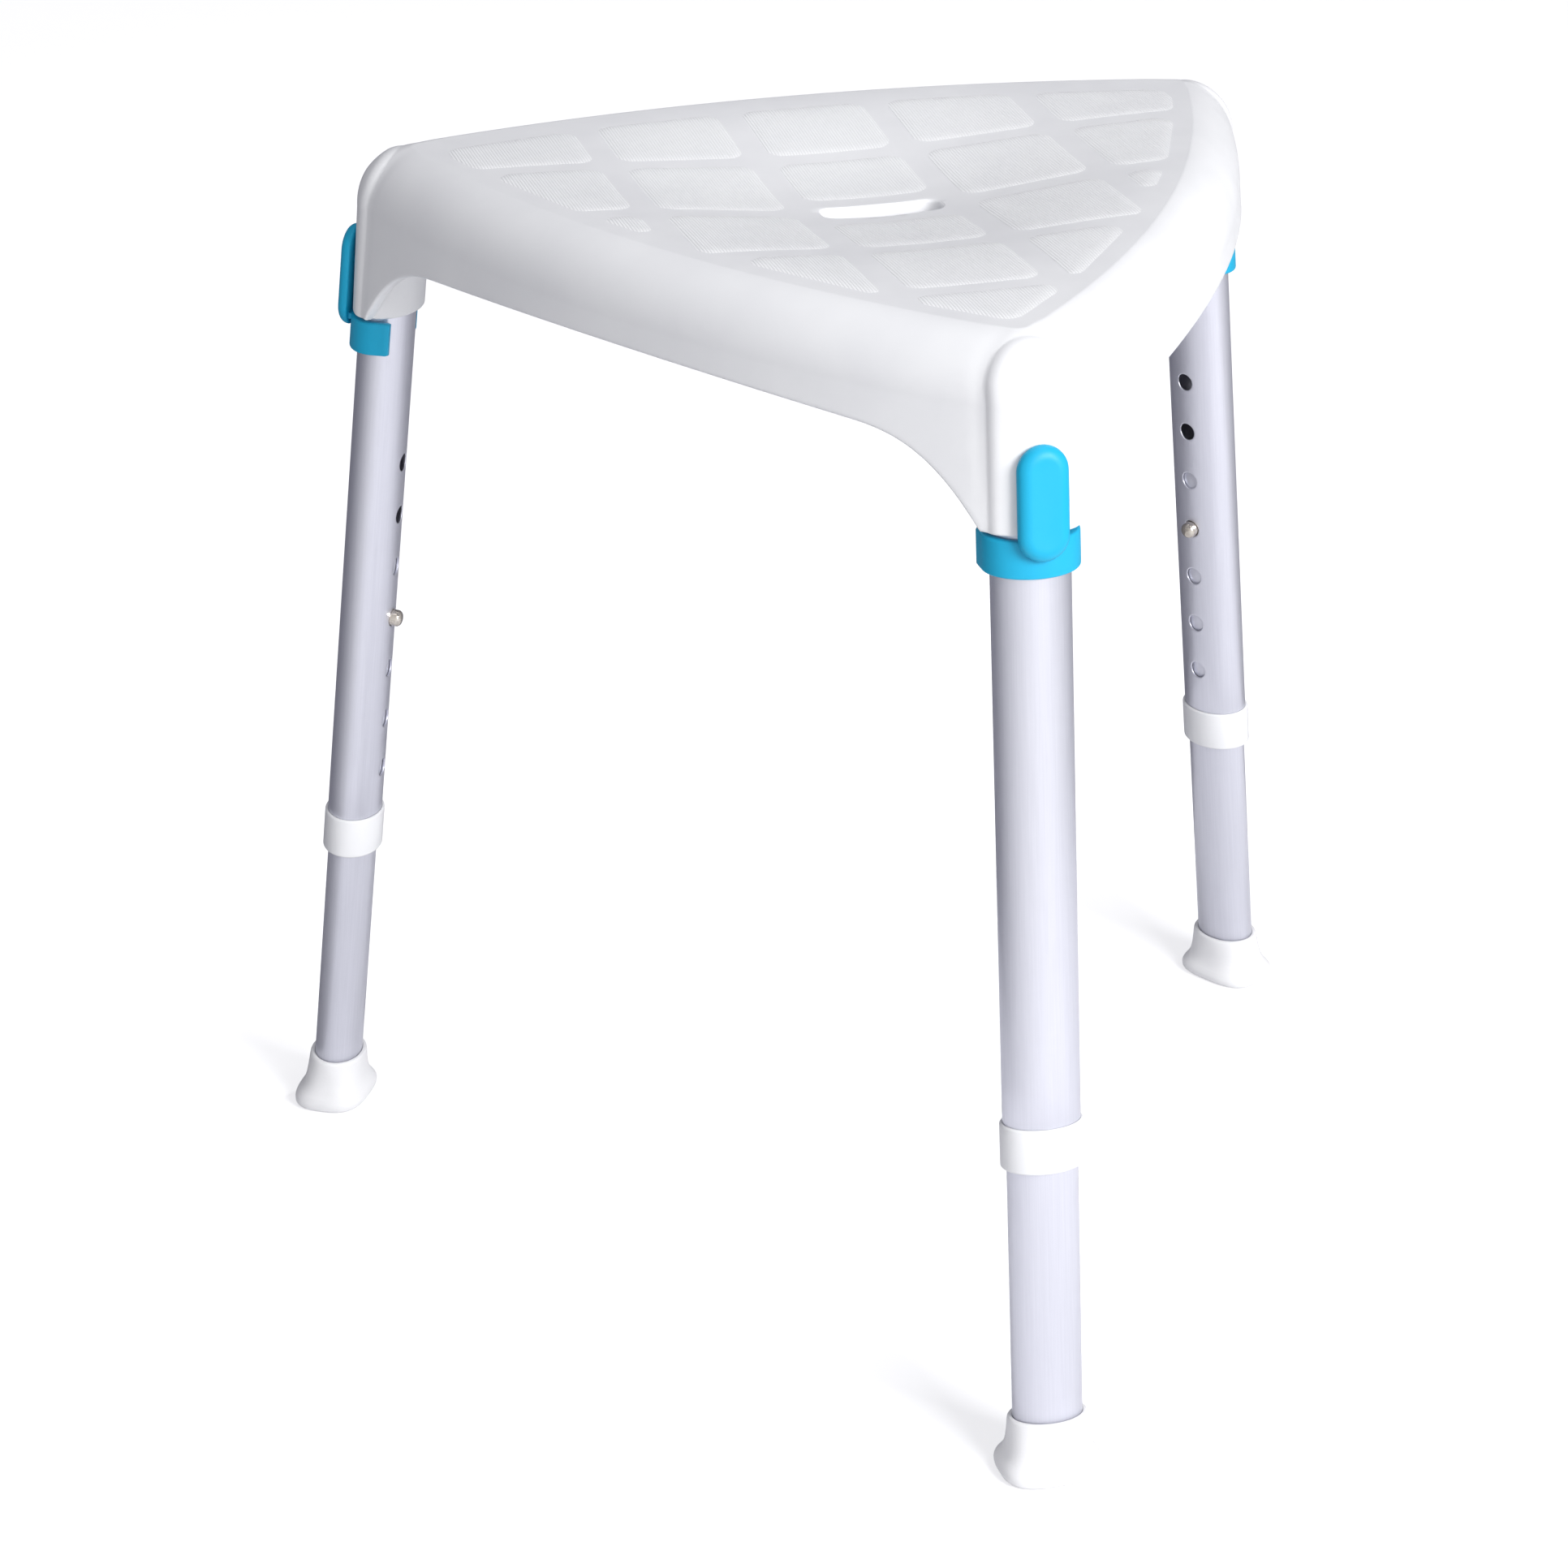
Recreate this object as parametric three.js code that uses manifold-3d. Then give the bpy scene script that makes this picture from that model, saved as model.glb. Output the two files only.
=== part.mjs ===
// Shower stool: a moulded triangular seat on three splayed legs of elliptical tube.
// Each leg telescopes: a snap button on the lower tube locks in one of seven holes
// of the upper tube. A clip on the outside of each seat socket keeps the leg in place.
// Millimetres, +Z up. The origin is on the floor, at the centre of the stool's outline.
import * as THREE from 'three';
import { mergeVertices } from 'three/addons/utils/BufferGeometryUtils.js';
import Module from 'manifold-3d';

const wasm = await Module();
wasm.setup();

// ---- Stance ----
const LEG_NAMES = ['front', 'right', 'left'];
const LEG_STEP = 2 * Math.PI / LEG_NAMES.length;
const SPLAY = THREE.MathUtils.degToRad(6.6);
const FOOT_CIRCLE = 259;      // leg axis to the legs' common centre, at the floor
const CENTRE_SHIFT = 60.8;     // moves the legs' centre back, so that the origin is about mid-outline
const GAP = 0.3;              // clearance between neighbouring pieces
const SHORTEST_EDGE = 0.1;

// ---- Seat ----
const SEAT_HEIGHT = 467;
const SIDE_DISTANCE = 148.5;  // centre to the middle of each side
const CORNER_DISTANCE = 194.9; // centre to the middle of each corner arc
const CORNER_RADIUS = 28.5;
const OUTLINE_LEVEL = 420;    // height at which the three values above hold
const SKIRT_DRAFT = 0.09;
const ROLL_RADIUS = 26;       // roll-over from the top into the skirt
const ROLL_END = THREE.MathUtils.degToRad(78.9); // it stops here, at a soft crease
const SHELL_THICKNESS = 3.5;
const DISH_DEPTH = 9.5;
const DISH_POWER = 2.2;
const DISH_RINGS = [0.95, 0.87, 0.76, 0.62, 0.45, 0.24];
const ENVELOPE_MARGIN = 20;
const UNDER_SKIN = 1.5;       // how deep ribs and sockets reach into the shell
const SKIRT_END = 422;        // bottom edge of the skirt, beside the arches
const SKIRT_RISE = 9;         // how much higher it is in the middle of a side
const ARCH_FOOT = 19.7;       // sideways from the leg's axis to where its arch starts
const ARCH_END = 60;
const ARCH_POWER = 2.6;
const SLOT_SIZE = [50, 16.4];
const SLOT_CORNER = 6;
const SLOT_Y = -17.2;
const RIB_THICKNESS = 3;
const RIB_BOTTOM = 448;
const RIB_RING_RADIUS = 46;
const RIB_RING_TURN = 0.06;   // keeps the ring's corners off the dish's edges
const SIDE_STEPS = 20;
const SIDE_CROWDING = 0.8;    // 0 spaces a side's points evenly, 1 crowds them at its ends
const CORNER_STEPS = 8;
const ROLL_STEPS = 5;

// ---- Legs, half sizes as [tangential, radial], heights along the leg's axis ----
const UPPER_HALF = [15.9, 11.8];
const UPPER_WALL = 1;
const UPPER_SPAN = [137, 446.5];
const LOWER_HALF = [14.6, 10.5];
const LOWER_WALL = 1.2;
const LOWER_SPAN = [7, 285];
const COLLAR_HALF = [17.1, 13];
const COLLAR_SPAN = [134.5, 153.5];
const SOCKET_HALF = [19.1, 15];
const SOCKET_SPAN = [396.5, 468.5];
const BORE_TOP = 448;
const BOSS_PROUD = 1.5;
const TUBE_STEPS = 24;

// ---- Height adjustment ----
const HOLE_COUNT = 7;
const HOLE_PITCH = 25;
const LOWEST_HOLE = 175.8;
const HOLE_RADIUS = 4;
const BUTTON_HEIGHT = LOWEST_HOLE + 3 * HOLE_PITCH;
const BUTTON_RADIUS = 3.7;
const BUTTON_TIP = 16.2;
const BUTTON_FLANGE = [7.1, 8.3];
const FLANGE_RADIUS = 4.9;
const ROUND_STEPS = 12;

// ---- Button spring ----
const SPRING_WIDTH = 10;
const SPRING_THICKNESS = 1;
const SPRING_BOTTOM = 224;
const SPRING_TOP = 262;

// ---- Guide plug, foot and washer ----
const PLUG_DEPTH = 10;
const PLUG_HEAD = 2;
const PLUG_BORE = 5;
const FOOT_TOP = 25;
const FOOT_SOLE_HALF = [21.5, 17];
const FOOT_NECK_HALF = [16.4, 12.3];
const FOOT_STEPS = 32;
const WASHER_SPAN = [5.2, 6.7];

// ---- Locking clip ----
const CLIP_SPAN = [380.1, 394.8];    // at the leg's axis; its edges are level
const CLIP_HALF = [19.6, 15.3];
const CLIP_ARM = 7.2;         // how far the arms reach past the tube's widest line
const TONGUE_SPAN = [386.4, 430.8];
const TONGUE_HALF_WIDTH = 9.7;
const TONGUE_FACES = [15.5, 20.8];
const TONGUE_BEVEL = 1.2;
const PEG_HEIGHT = 415;
const PEG_RADIUS = 3.6;
const PEG_END = 9;

// ---- Materials ----
const white = { color: 0xf1f2f4, roughness: 0.45, metalness: 0 };
const rubber = { color: 0xf3f3f4, roughness: 0.7, metalness: 0 };
const anodised = { color: 0xb9b9c2, roughness: 0.35, metalness: 1 };
const nickel = { color: 0xc9c2b4, roughness: 0.2, metalness: 1 };
const steel = { color: 0x9a9ca0, roughness: 0.3, metalness: 1 };
const blue = { color: 0x2bb4e6, roughness: 0.45, metalness: 0 };

// ---- Solids: from geometry to manifold and back ----

function toSolid(geometry) {
  const bare = geometry.clone();
  bare.deleteAttribute('normal');
  bare.deleteAttribute('uv');
  const merged = mergeVertices(bare, 1e-4);
  const vertProperties = new Float32Array(merged.attributes.position.array);
  const triVerts = new Uint32Array(merged.index.array);
  return new wasm.Manifold(new wasm.Mesh({ numProp: 3, vertProperties, triVerts }));
}

// Back to a geometry. The ends of edges too short to matter are pulled together,
// and the triangles that collapse are dropped.
function toGeometry(solid) {
  const mesh = solid.getMesh();
  const points = new THREE.BufferAttribute(mesh.vertProperties, 3);
  const merged = Array.from({ length: points.count }, (_, i) => i);
  const rootOf = (i) => (merged[i] === i ? i : rootOf(merged[i]));
  const [start, end] = [new THREE.Vector3(), new THREE.Vector3()];
  for (let i = 0; i < mesh.triVerts.length; i++) {
    const from = mesh.triVerts[i];
    const to = mesh.triVerts[i % 3 === 2 ? i - 2 : i + 1];
    start.fromBufferAttribute(points, from);
    end.fromBufferAttribute(points, to);
    if (start.distanceTo(end) < SHORTEST_EDGE) merged[rootOf(from)] = rootOf(to);
  }
  const faces = [];
  for (let i = 0; i < mesh.triVerts.length; i += 3) {
    const corners = [0, 1, 2].map((k) => rootOf(mesh.triVerts[i + k]));
    if (new Set(corners).size === 3) faces.push(...corners);
  }
  const geometry = new THREE.BufferGeometry().setAttribute('position', points);
  return geometry.setIndex(faces);
}

// Skins a stack of rings, each with the same number of points, and closes both ends with a fan.
function loft(rings) {
  const count = rings[0].length;
  const points = rings.flat();
  for (const end of [rings[0], rings.at(-1)]) {
    const middle = new THREE.Vector3();
    end.forEach((point) => middle.addScaledVector(point, 1 / count));
    points.push(middle);
  }
  const firstMiddle = points.length - 2;
  const lastMiddle = points.length - 1;
  const lastRing = (rings.length - 1) * count;
  const faces = [];
  for (let i = 0; i < count; i++) {
    const next = (i + 1) % count;
    for (let ring = 0; ring < lastRing; ring += count) {
      faces.push(ring + i, ring + next, ring + count + next);
      faces.push(ring + i, ring + count + next, ring + count + i);
    }
    faces.push(firstMiddle, next, i);
    faces.push(lastMiddle, lastRing + i, lastRing + next);
  }
  const geometry = new THREE.BufferGeometry().setFromPoints(points);
  geometry.setIndex(faces);
  return geometry;
}

function ellipseShape([halfX, halfY], steps = TUBE_STEPS) {
  const curve = new THREE.EllipseCurve(0, 0, halfX, halfY);
  return new THREE.Shape(curve.getPoints(steps).slice(0, -1));
}

// Elliptical bar between two heights along the leg.
function bar(half, [low, high]) {
  const settings = { depth: high - low, bevelEnabled: false };
  return toSolid(new THREE.ExtrudeGeometry(ellipseShape(half), settings).translate(0, 0, low));
}

function grow(half, amount) {
  return half.map((size) => size + amount);
}

// Round bar across the leg, from y = from to y = to; the stool's middle is towards +y.
function crossBar(radius, height, from, to) {
  const geometry = new THREE.CylinderGeometry(radius, radius, to - from, ROUND_STEPS);
  return toSolid(geometry.translate(0, (from + to) / 2, height));
}

function box(sizeX, sizeY, [low, high], y = 0) {
  const geometry = new THREE.BoxGeometry(sizeX, sizeY, high - low);
  return toSolid(geometry.translate(0, y, (low + high) / 2));
}

// ---- Seat outline: three long side arcs and three corner arcs, tangent to each other ----

function outlineArcs() {
  const half = CORNER_DISTANCE / 2;
  const across = CORNER_DISTANCE * Math.sin(LEG_STEP / 2);
  const inside = half - SIDE_DISTANCE;
  const sideRadius = (across ** 2 + inside ** 2 - CORNER_RADIUS ** 2)
    / (2 * (SIDE_DISTANCE - half - CORNER_RADIUS));
  const sideCentre = sideRadius - SIDE_DISTANCE;
  const sweep = Math.atan2(across, half + sideCentre);
  return { sideRadius, sideCentre, sweep };
}

// Points around the seat: arc centre, radius, direction, and how far along its side (-1 to 1).
function outlineStations() {
  const { sideRadius, sideCentre, sweep } = outlineArcs();
  const stations = [];
  for (let k = 0; k < LEG_NAMES.length; k++) {
    const middle = Math.PI / 2 + k * LEG_STEP;
    for (let i = 0; i <= SIDE_STEPS; i++) {
      const turn = SIDE_CROWDING * Math.PI / 2;
      const along = Math.sin((2 * i / SIDE_STEPS - 1) * turn) / Math.sin(turn);
      const centre = new THREE.Vector2(-sideCentre, 0).rotateAround(new THREE.Vector2(), middle);
      stations.push({ centre, radius: sideRadius, angle: middle + along * sweep, along });
    }
    const corner = middle + LEG_STEP / 2;
    for (let i = 1; i < CORNER_STEPS; i++) {
      const angle = corner + (2 * i / CORNER_STEPS - 1) * (LEG_STEP / 2 - sweep);
      const centre = new THREE.Vector2(CORNER_DISTANCE, 0).rotateAround(new THREE.Vector2(), corner);
      stations.push({ centre, radius: CORNER_RADIUS, angle, along: 1 });
    }
  }
  return stations;
}

const ARCS = outlineArcs();
const STATIONS = outlineStations();
const WALL_TOP = SEAT_HEIGHT - ROLL_RADIUS;
const CREASE_HEIGHT = WALL_TOP + ROLL_RADIUS * Math.sin(ROLL_END);

function stationPoint(station, inset, z) {
  const reach = station.radius - inset;
  const x = station.centre.x + reach * Math.cos(station.angle);
  const y = station.centre.y + reach * Math.sin(station.angle);
  return new THREE.Vector3(x, y, z);
}

function wallInset(z) {
  return (z - OUTLINE_LEVEL) * SKIRT_DRAFT;
}

// How far a point lies sideways of the nearest leg's plane, and how far out from the centre.
function legPlace(point) {
  const places = LEG_NAMES.map((_, k) => {
    const turned = point.clone().applyAxisAngle(new THREE.Vector3(0, 0, 1), -k * LEG_STEP);
    return { side: Math.abs(turned.x), reach: -turned.y };
  });
  return places.reduce((best, place) => (place.reach > best.reach ? place : best));
}

// Height of the skirt's bottom edge: high mid-side, arching down to each socket's level end.
function skirtBottom(station) {
  const straight = SKIRT_END + SKIRT_RISE * (1 - station.along ** 2);
  const { side } = legPlace(stationPoint(station, 0, 0));
  const socket = SOCKET_SPAN[0] * Math.cos(SPLAY);
  const share = THREE.MathUtils.clamp((ARCH_END - side) / (ARCH_END - ARCH_FOOT), 0, 1);
  return straight - (straight - socket) * share ** ARCH_POWER;
}

// One ring of the wall, at a level height or at a height that varies around the seat.
function wallRing(inset, height) {
  return STATIONS.map((station) => {
    const z = height instanceof Function ? height(station) : height;
    return stationPoint(station, inset + wallInset(z), z);
  });
}

// The roll-over as rings from the wall up to the crease, moved in by `inset`.
function rollRings(inset) {
  const radius = ROLL_RADIUS - inset;
  const rings = [];
  for (let i = 1; i <= ROLL_STEPS; i++) {
    const angle = (i / ROLL_STEPS) * ROLL_END;
    const z = WALL_TOP + radius * Math.sin(angle);
    const level = inset + wallInset(WALL_TOP) + radius * (1 - Math.cos(angle));
    rings.push(STATIONS.map((station) => stationPoint(station, level, z)));
  }
  return rings;
}

// How far the seat's top lies below its crease: nothing along the sides, most in the middle.
function dishDrop(x, y) {
  const rim = ARCS.sideRadius - wallInset(WALL_TOP) - ROLL_RADIUS * (1 - Math.cos(ROLL_END));
  let share = 1;
  for (let k = 0; k < LEG_NAMES.length; k++) {
    const middle = Math.PI / 2 + k * LEG_STEP;
    const [dx, dy] = [x + ARCS.sideCentre * Math.cos(middle), y + ARCS.sideCentre * Math.sin(middle)];
    share *= Math.max(0, rim - Math.hypot(dx, dy)) / (rim - ARCS.sideCentre);
  }
  return DISH_DEPTH * share ** DISH_POWER;
}

// The dish as rings that shrink towards the middle, `inset` below the top surface.
function dishRings(rim, inset) {
  return DISH_RINGS.map((share) => rim.map(({ x, y }) => (
    new THREE.Vector3(x * share, y * share, CREASE_HEIGHT - inset - dishDrop(x * share, y * share))
  )));
}

// Wall, roll-over and dish, from the wall's lower edge to the middle of the seat.
function seatSurface(inset, lowerEdge) {
  const roll = rollRings(inset);
  const dish = dishRings(roll.at(-1), inset);
  return [wallRing(inset, lowerEdge), wallRing(inset, WALL_TOP), ...roll, ...dish];
}

// Everything inside such a surface, down past the sockets' ends.
function seatEnvelope(inset) {
  return toSolid(loft(seatSurface(inset, SOCKET_SPAN[0] - ENVELOPE_MARGIN)));
}

// The shell alone: from the middle underneath, out around the skirt's edge and back over the top.
function seatSkin() {
  const inside = seatSurface(SHELL_THICKNESS, skirtBottom).reverse();
  return toSolid(loft([...inside, ...seatSurface(0, skirtBottom)]));
}

// Slants a solid made in a leg's own frame, so that its ends are level once the leg leans.
function levelled(solid) {
  return solid.transform(new THREE.Matrix4().makeShear(0, 0, 0, Math.tan(SPLAY), 0, 0).toArray());
}

// Places a solid made in a leg's own frame into the seat's frame.
function inLegFrame(solid, legIndex) {
  const matrix = new THREE.Matrix4().makeRotationZ(legIndex * LEG_STEP)
    .multiply(new THREE.Matrix4().makeTranslation(0, -FOOT_CIRCLE, 0))
    .multiply(new THREE.Matrix4().makeRotationX(-SPLAY));
  return solid.transform(matrix.toArray());
}

// Vertical pill outline, for the raised boss on each corner.
function pillPrism(halfWidth, [low, high], [front, back]) {
  const shape = new THREE.Shape();
  shape.moveTo(-halfWidth, low);
  shape.lineTo(halfWidth, low);
  shape.absarc(0, high - halfWidth, halfWidth, 0, Math.PI);
  shape.closePath();
  const settings = { depth: back - front, bevelEnabled: false, curveSegments: 8 };
  const geometry = new THREE.ExtrudeGeometry(shape, settings);
  return toSolid(geometry.rotateX(Math.PI / 2).translate(0, back, 0));
}

function seatRibs() {
  const ribs = [];
  const toSide = CORNER_DISTANCE * Math.cos(LEG_STEP / 2);
  const span = [RIB_BOTTOM, SEAT_HEIGHT];
  const length = 2 * toSide * Math.tan(LEG_STEP / 2) - 2 * SOCKET_HALF[0];
  const ring = new THREE.Shape().absarc(0, 0, RIB_RING_RADIUS, 0, 2 * Math.PI);
  ring.holes.push(new THREE.Path().absarc(0, 0, RIB_RING_RADIUS - RIB_THICKNESS, 0, 2 * Math.PI, true));
  const ringGeometry = new THREE.ExtrudeGeometry(ring, { depth: span[1] - span[0], bevelEnabled: false });
  ribs.push(toSolid(ringGeometry.rotateZ(RIB_RING_TURN).translate(0, 0, RIB_BOTTOM)));
  const spoke = CORNER_DISTANCE - RIB_RING_RADIUS;
  const spokeMiddle = -RIB_RING_RADIUS + RIB_THICKNESS / 2 - spoke / 2;
  for (let k = 0; k < LEG_NAMES.length; k++) {
    const turn = new THREE.Matrix4().makeRotationZ(k * LEG_STEP).toArray();
    ribs.push(box(length, RIB_THICKNESS, span, toSide).transform(turn));
    ribs.push(box(RIB_THICKNESS, spoke, span, spokeMiddle).transform(turn));
  }
  return ribs.reduce((all, rib) => all.add(rib));
}

function drainSlot() {
  const [reach, side] = SLOT_SIZE.map((size) => size / 2 - SLOT_CORNER);
  const shape = new THREE.Shape();
  shape.absarc(reach, side, SLOT_CORNER, 0, Math.PI / 2);
  shape.absarc(-reach, side, SLOT_CORNER, Math.PI / 2, Math.PI);
  shape.absarc(-reach, -side, SLOT_CORNER, Math.PI, 3 * Math.PI / 2);
  shape.absarc(reach, -side, SLOT_CORNER, 3 * Math.PI / 2, 2 * Math.PI);
  shape.closePath();
  const depth = 2 * ROLL_RADIUS;
  const geometry = new THREE.ExtrudeGeometry(shape, { depth, bevelEnabled: false, curveSegments: 4 });
  return toSolid(geometry.translate(0, SLOT_Y, SEAT_HEIGHT - ROLL_RADIUS));
}

function seatShell() {
  const under = seatEnvelope(UNDER_SKIN);
  const boss = seatEnvelope(-BOSS_PROUD);
  let shell = seatSkin().add(seatRibs().intersect(under));
  const pillSpan = [SOCKET_SPAN[0] - ENVELOPE_MARGIN, SOCKET_SPAN[1]];
  const pill = pillPrism(SOCKET_HALF[0], pillSpan, [-2 * SOCKET_HALF[1], SOCKET_HALF[1]]);
  for (let k = 0; k < LEG_NAMES.length; k++) {
    const column = levelled(bar(SOCKET_HALF, SOCKET_SPAN));
    const front = column.intersect(pill);
    shell = shell.add(inLegFrame(column, k).intersect(under));
    shell = shell.add(inLegFrame(front, k).intersect(boss));
  }
  for (let k = 0; k < LEG_NAMES.length; k++) {
    const bore = bar(grow(UPPER_HALF, GAP), [SOCKET_SPAN[0] - ENVELOPE_MARGIN, BORE_TOP]);
    const pegHole = crossBar(HOLE_RADIUS, PEG_HEIGHT, -2 * SOCKET_HALF[1], -PEG_END);
    shell = shell.subtract(inLegFrame(bore.add(pegHole), k));
  }
  return toGeometry(shell.subtract(drainSlot()));
}

// ---- Leg pieces, each in its leg's frame ----

function upperTube() {
  let tube = bar(UPPER_HALF, UPPER_SPAN);
  tube = tube.subtract(bar(grow(UPPER_HALF, -UPPER_WALL), [UPPER_SPAN[0] - 1, UPPER_SPAN[1] + 1]));
  for (let k = 0; k < HOLE_COUNT; k++) {
    tube = tube.subtract(crossBar(HOLE_RADIUS, LOWEST_HOLE + k * HOLE_PITCH, 0, 20));
  }
  return toGeometry(tube.subtract(crossBar(HOLE_RADIUS, PEG_HEIGHT, -20, 0)));
}

function lowerTube() {
  const tube = bar(LOWER_HALF, LOWER_SPAN)
    .subtract(bar(grow(LOWER_HALF, -LOWER_WALL), [LOWER_SPAN[0] - 1, LOWER_SPAN[1] + 1]));
  return toGeometry(tube.subtract(crossBar(HOLE_RADIUS, BUTTON_HEIGHT, 0, 20)));
}

function collar() {
  const ledge = UPPER_SPAN[0] - GAP;
  return toGeometry(bar(COLLAR_HALF, COLLAR_SPAN)
    .subtract(bar(grow(UPPER_HALF, GAP), [ledge, COLLAR_SPAN[1] + 1]))
    .subtract(bar(grow(LOWER_HALF, GAP), [COLLAR_SPAN[0] - 1, ledge + 1])));
}

function guidePlug() {
  const seat = LOWER_SPAN[1] + GAP;
  const shank = bar(grow(LOWER_HALF, -LOWER_WALL - GAP), [seat - PLUG_DEPTH, seat + 1]);
  const bore = new THREE.CylinderGeometry(PLUG_BORE, PLUG_BORE, 3 * PLUG_DEPTH, ROUND_STEPS);
  return toGeometry(bar(LOWER_HALF, [seat, seat + PLUG_HEAD]).add(shank)
    .subtract(toSolid(bore.rotateX(Math.PI / 2).translate(0, 0, seat))));
}

// Button with a flange that holds it in the tube, turned about an axis across the leg.
function snapButton() {
  const [back, face] = BUTTON_FLANGE;
  const profile = [
    [0, back], [FLANGE_RADIUS, back], [FLANGE_RADIUS, face], [BUTTON_RADIUS, face],
    [BUTTON_RADIUS, BUTTON_TIP - 1.4], [BUTTON_RADIUS - 0.5, BUTTON_TIP - 0.5],
    [BUTTON_RADIUS - 1.6, BUTTON_TIP], [0, BUTTON_TIP],
  ];
  const points = profile.map(([x, y]) => new THREE.Vector2(x, y));
  return toGeometry(toSolid(new THREE.LatheGeometry(points, ROUND_STEPS).translate(0, 0, BUTTON_HEIGHT)));
}

// V-shaped leaf: one arm along the outer wall, the other flat behind the button.
function buttonSpring() {
  const half = SPRING_WIDTH / 2;
  const wall = -8.2;
  const behind = BUTTON_FLANGE[0] - GAP;
  const bend = SPRING_BOTTOM + 20;
  const t = SPRING_THICKNESS;
  const shape = new THREE.Shape([
    [wall, SPRING_TOP - 4], [wall, SPRING_BOTTOM], [wall + t, SPRING_BOTTOM], [behind, bend - t],
    [behind, SPRING_TOP], [behind - t, SPRING_TOP], [behind - t, bend], [wall + t, SPRING_BOTTOM + 2 * t],
    [wall + t, SPRING_TOP - 4],
  ].map(([y, z]) => new THREE.Vector2(y, z)));
  const geometry = new THREE.ExtrudeGeometry(shape, { depth: SPRING_WIDTH, bevelEnabled: false });
  const standing = new THREE.Matrix4().makeBasis(
    new THREE.Vector3(0, 1, 0), new THREE.Vector3(0, 0, 1), new THREE.Vector3(1, 0, 0));
  return toGeometry(toSolid(geometry.applyMatrix4(standing).translate(-half, 0, 0)));
}

// Ferrule: a level rounded-oblong sole that flares up into a neck square to the tube.
function foot() {
  const profile = [
    [0, 0.45, 1], [0.03, 0.76, 1], [0.08, 0.95, 1], [0.15, 1, 1], [0.2, 0.97, 0.95],
    [0.27, 0.8, 0.85], [0.34, 0.55, 0.74], [0.43, 0.33, 0.6], [0.56, 0.18, 0.45],
    [0.76, 0.1, 0.26], [0.95, 0.07, 0.05], [1, -0.06, 0],
  ];
  const rings = profile.map(([rise, flare, squareness]) => {
    const ring = [];
    const tilt = SPLAY * rise;
    const power = 2 / THREE.MathUtils.lerp(2, 3, squareness);
    for (let i = 0; i < FOOT_STEPS; i++) {
      const angle = 2 * Math.PI * i / FOOT_STEPS;
      const [x, y] = [Math.cos(angle), Math.sin(angle)].map((part, axis) => (
        Math.sign(part) * Math.abs(part) ** power
          * THREE.MathUtils.lerp(FOOT_NECK_HALF[axis], FOOT_SOLE_HALF[axis], flare)
      ));
      const along = FOOT_TOP * rise;
      ring.push(new THREE.Vector3(
        x,
        y * Math.cos(tilt) + along * Math.sin(SPLAY),
        along * Math.cos(SPLAY) - y * Math.sin(tilt),
      ));
    }
    return ring;
  });
  const cavity = bar(grow(LOWER_HALF, GAP), [WASHER_SPAN[0] - GAP, FOOT_TOP + 20]);
  const tilt = new THREE.Matrix4().makeRotationX(-SPLAY).toArray();
  return toGeometry(toSolid(loft(rings)).subtract(cavity.transform(tilt)));
}

function footWasher() {
  return toGeometry(bar(grow(LOWER_HALF, -GAP), WASHER_SPAN));
}

// Clip: an open band under the socket, a thumb tongue outside it and a peg into the tube.
function lockingClip() {
  const outline = new THREE.Shape();
  const [innerX, innerY] = grow(UPPER_HALF, GAP);
  outline.absellipse(0, 0, ...CLIP_HALF, Math.PI, 2 * Math.PI);
  outline.lineTo(CLIP_HALF[0], CLIP_ARM);
  outline.lineTo(innerX, CLIP_ARM);
  outline.absellipse(0, 0, innerX, innerY, 2 * Math.PI, Math.PI, true);
  outline.lineTo(-innerX, CLIP_ARM);
  outline.lineTo(-CLIP_HALF[0], CLIP_ARM);
  outline.closePath();
  const bandGeometry = new THREE.ExtrudeGeometry(outline, {
    depth: CLIP_SPAN[1] - CLIP_SPAN[0],
    bevelEnabled: false,
    curveSegments: TUBE_STEPS / 2,
  });
  const band = levelled(toSolid(bandGeometry.translate(0, 0, CLIP_SPAN[0])));
  const [back, face] = TONGUE_FACES;
  const halfWidth = TONGUE_HALF_WIDTH - TONGUE_BEVEL;
  const [low, high] = [TONGUE_SPAN[0] + TONGUE_BEVEL, TONGUE_SPAN[1] - TONGUE_BEVEL];
  const pill = new THREE.Shape();
  pill.absarc(0, low + halfWidth, halfWidth, Math.PI, 2 * Math.PI);
  pill.absarc(0, high - halfWidth, halfWidth, 0, Math.PI);
  pill.closePath();
  const tongue = new THREE.ExtrudeGeometry(pill, {
    depth: face - back - 2 * TONGUE_BEVEL,
    bevelThickness: TONGUE_BEVEL,
    bevelSize: TONGUE_BEVEL,
    bevelSegments: 2,
    curveSegments: 8,
  });
  tongue.rotateX(Math.PI / 2).translate(0, -back - TONGUE_BEVEL, 0);
  const rootTop = CLIP_SPAN[1] - (back + 2) * Math.tan(SPLAY);
  const root = box(1.5 * TONGUE_HALF_WIDTH, 4, [TONGUE_SPAN[0] + 1, rootTop], -back + 0.5);
  return toGeometry(band.add(toSolid(tongue)).add(root)
    .add(crossBar(PEG_RADIUS, PEG_HEIGHT, -back - 1, -PEG_END)));
}

// ---- Assembly ----

function addPiece(group, name, geometry, finish) {
  const mesh = new THREE.Mesh(geometry, new THREE.MeshStandardMaterial(finish));
  mesh.name = name;
  group.add(mesh);
}

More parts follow.
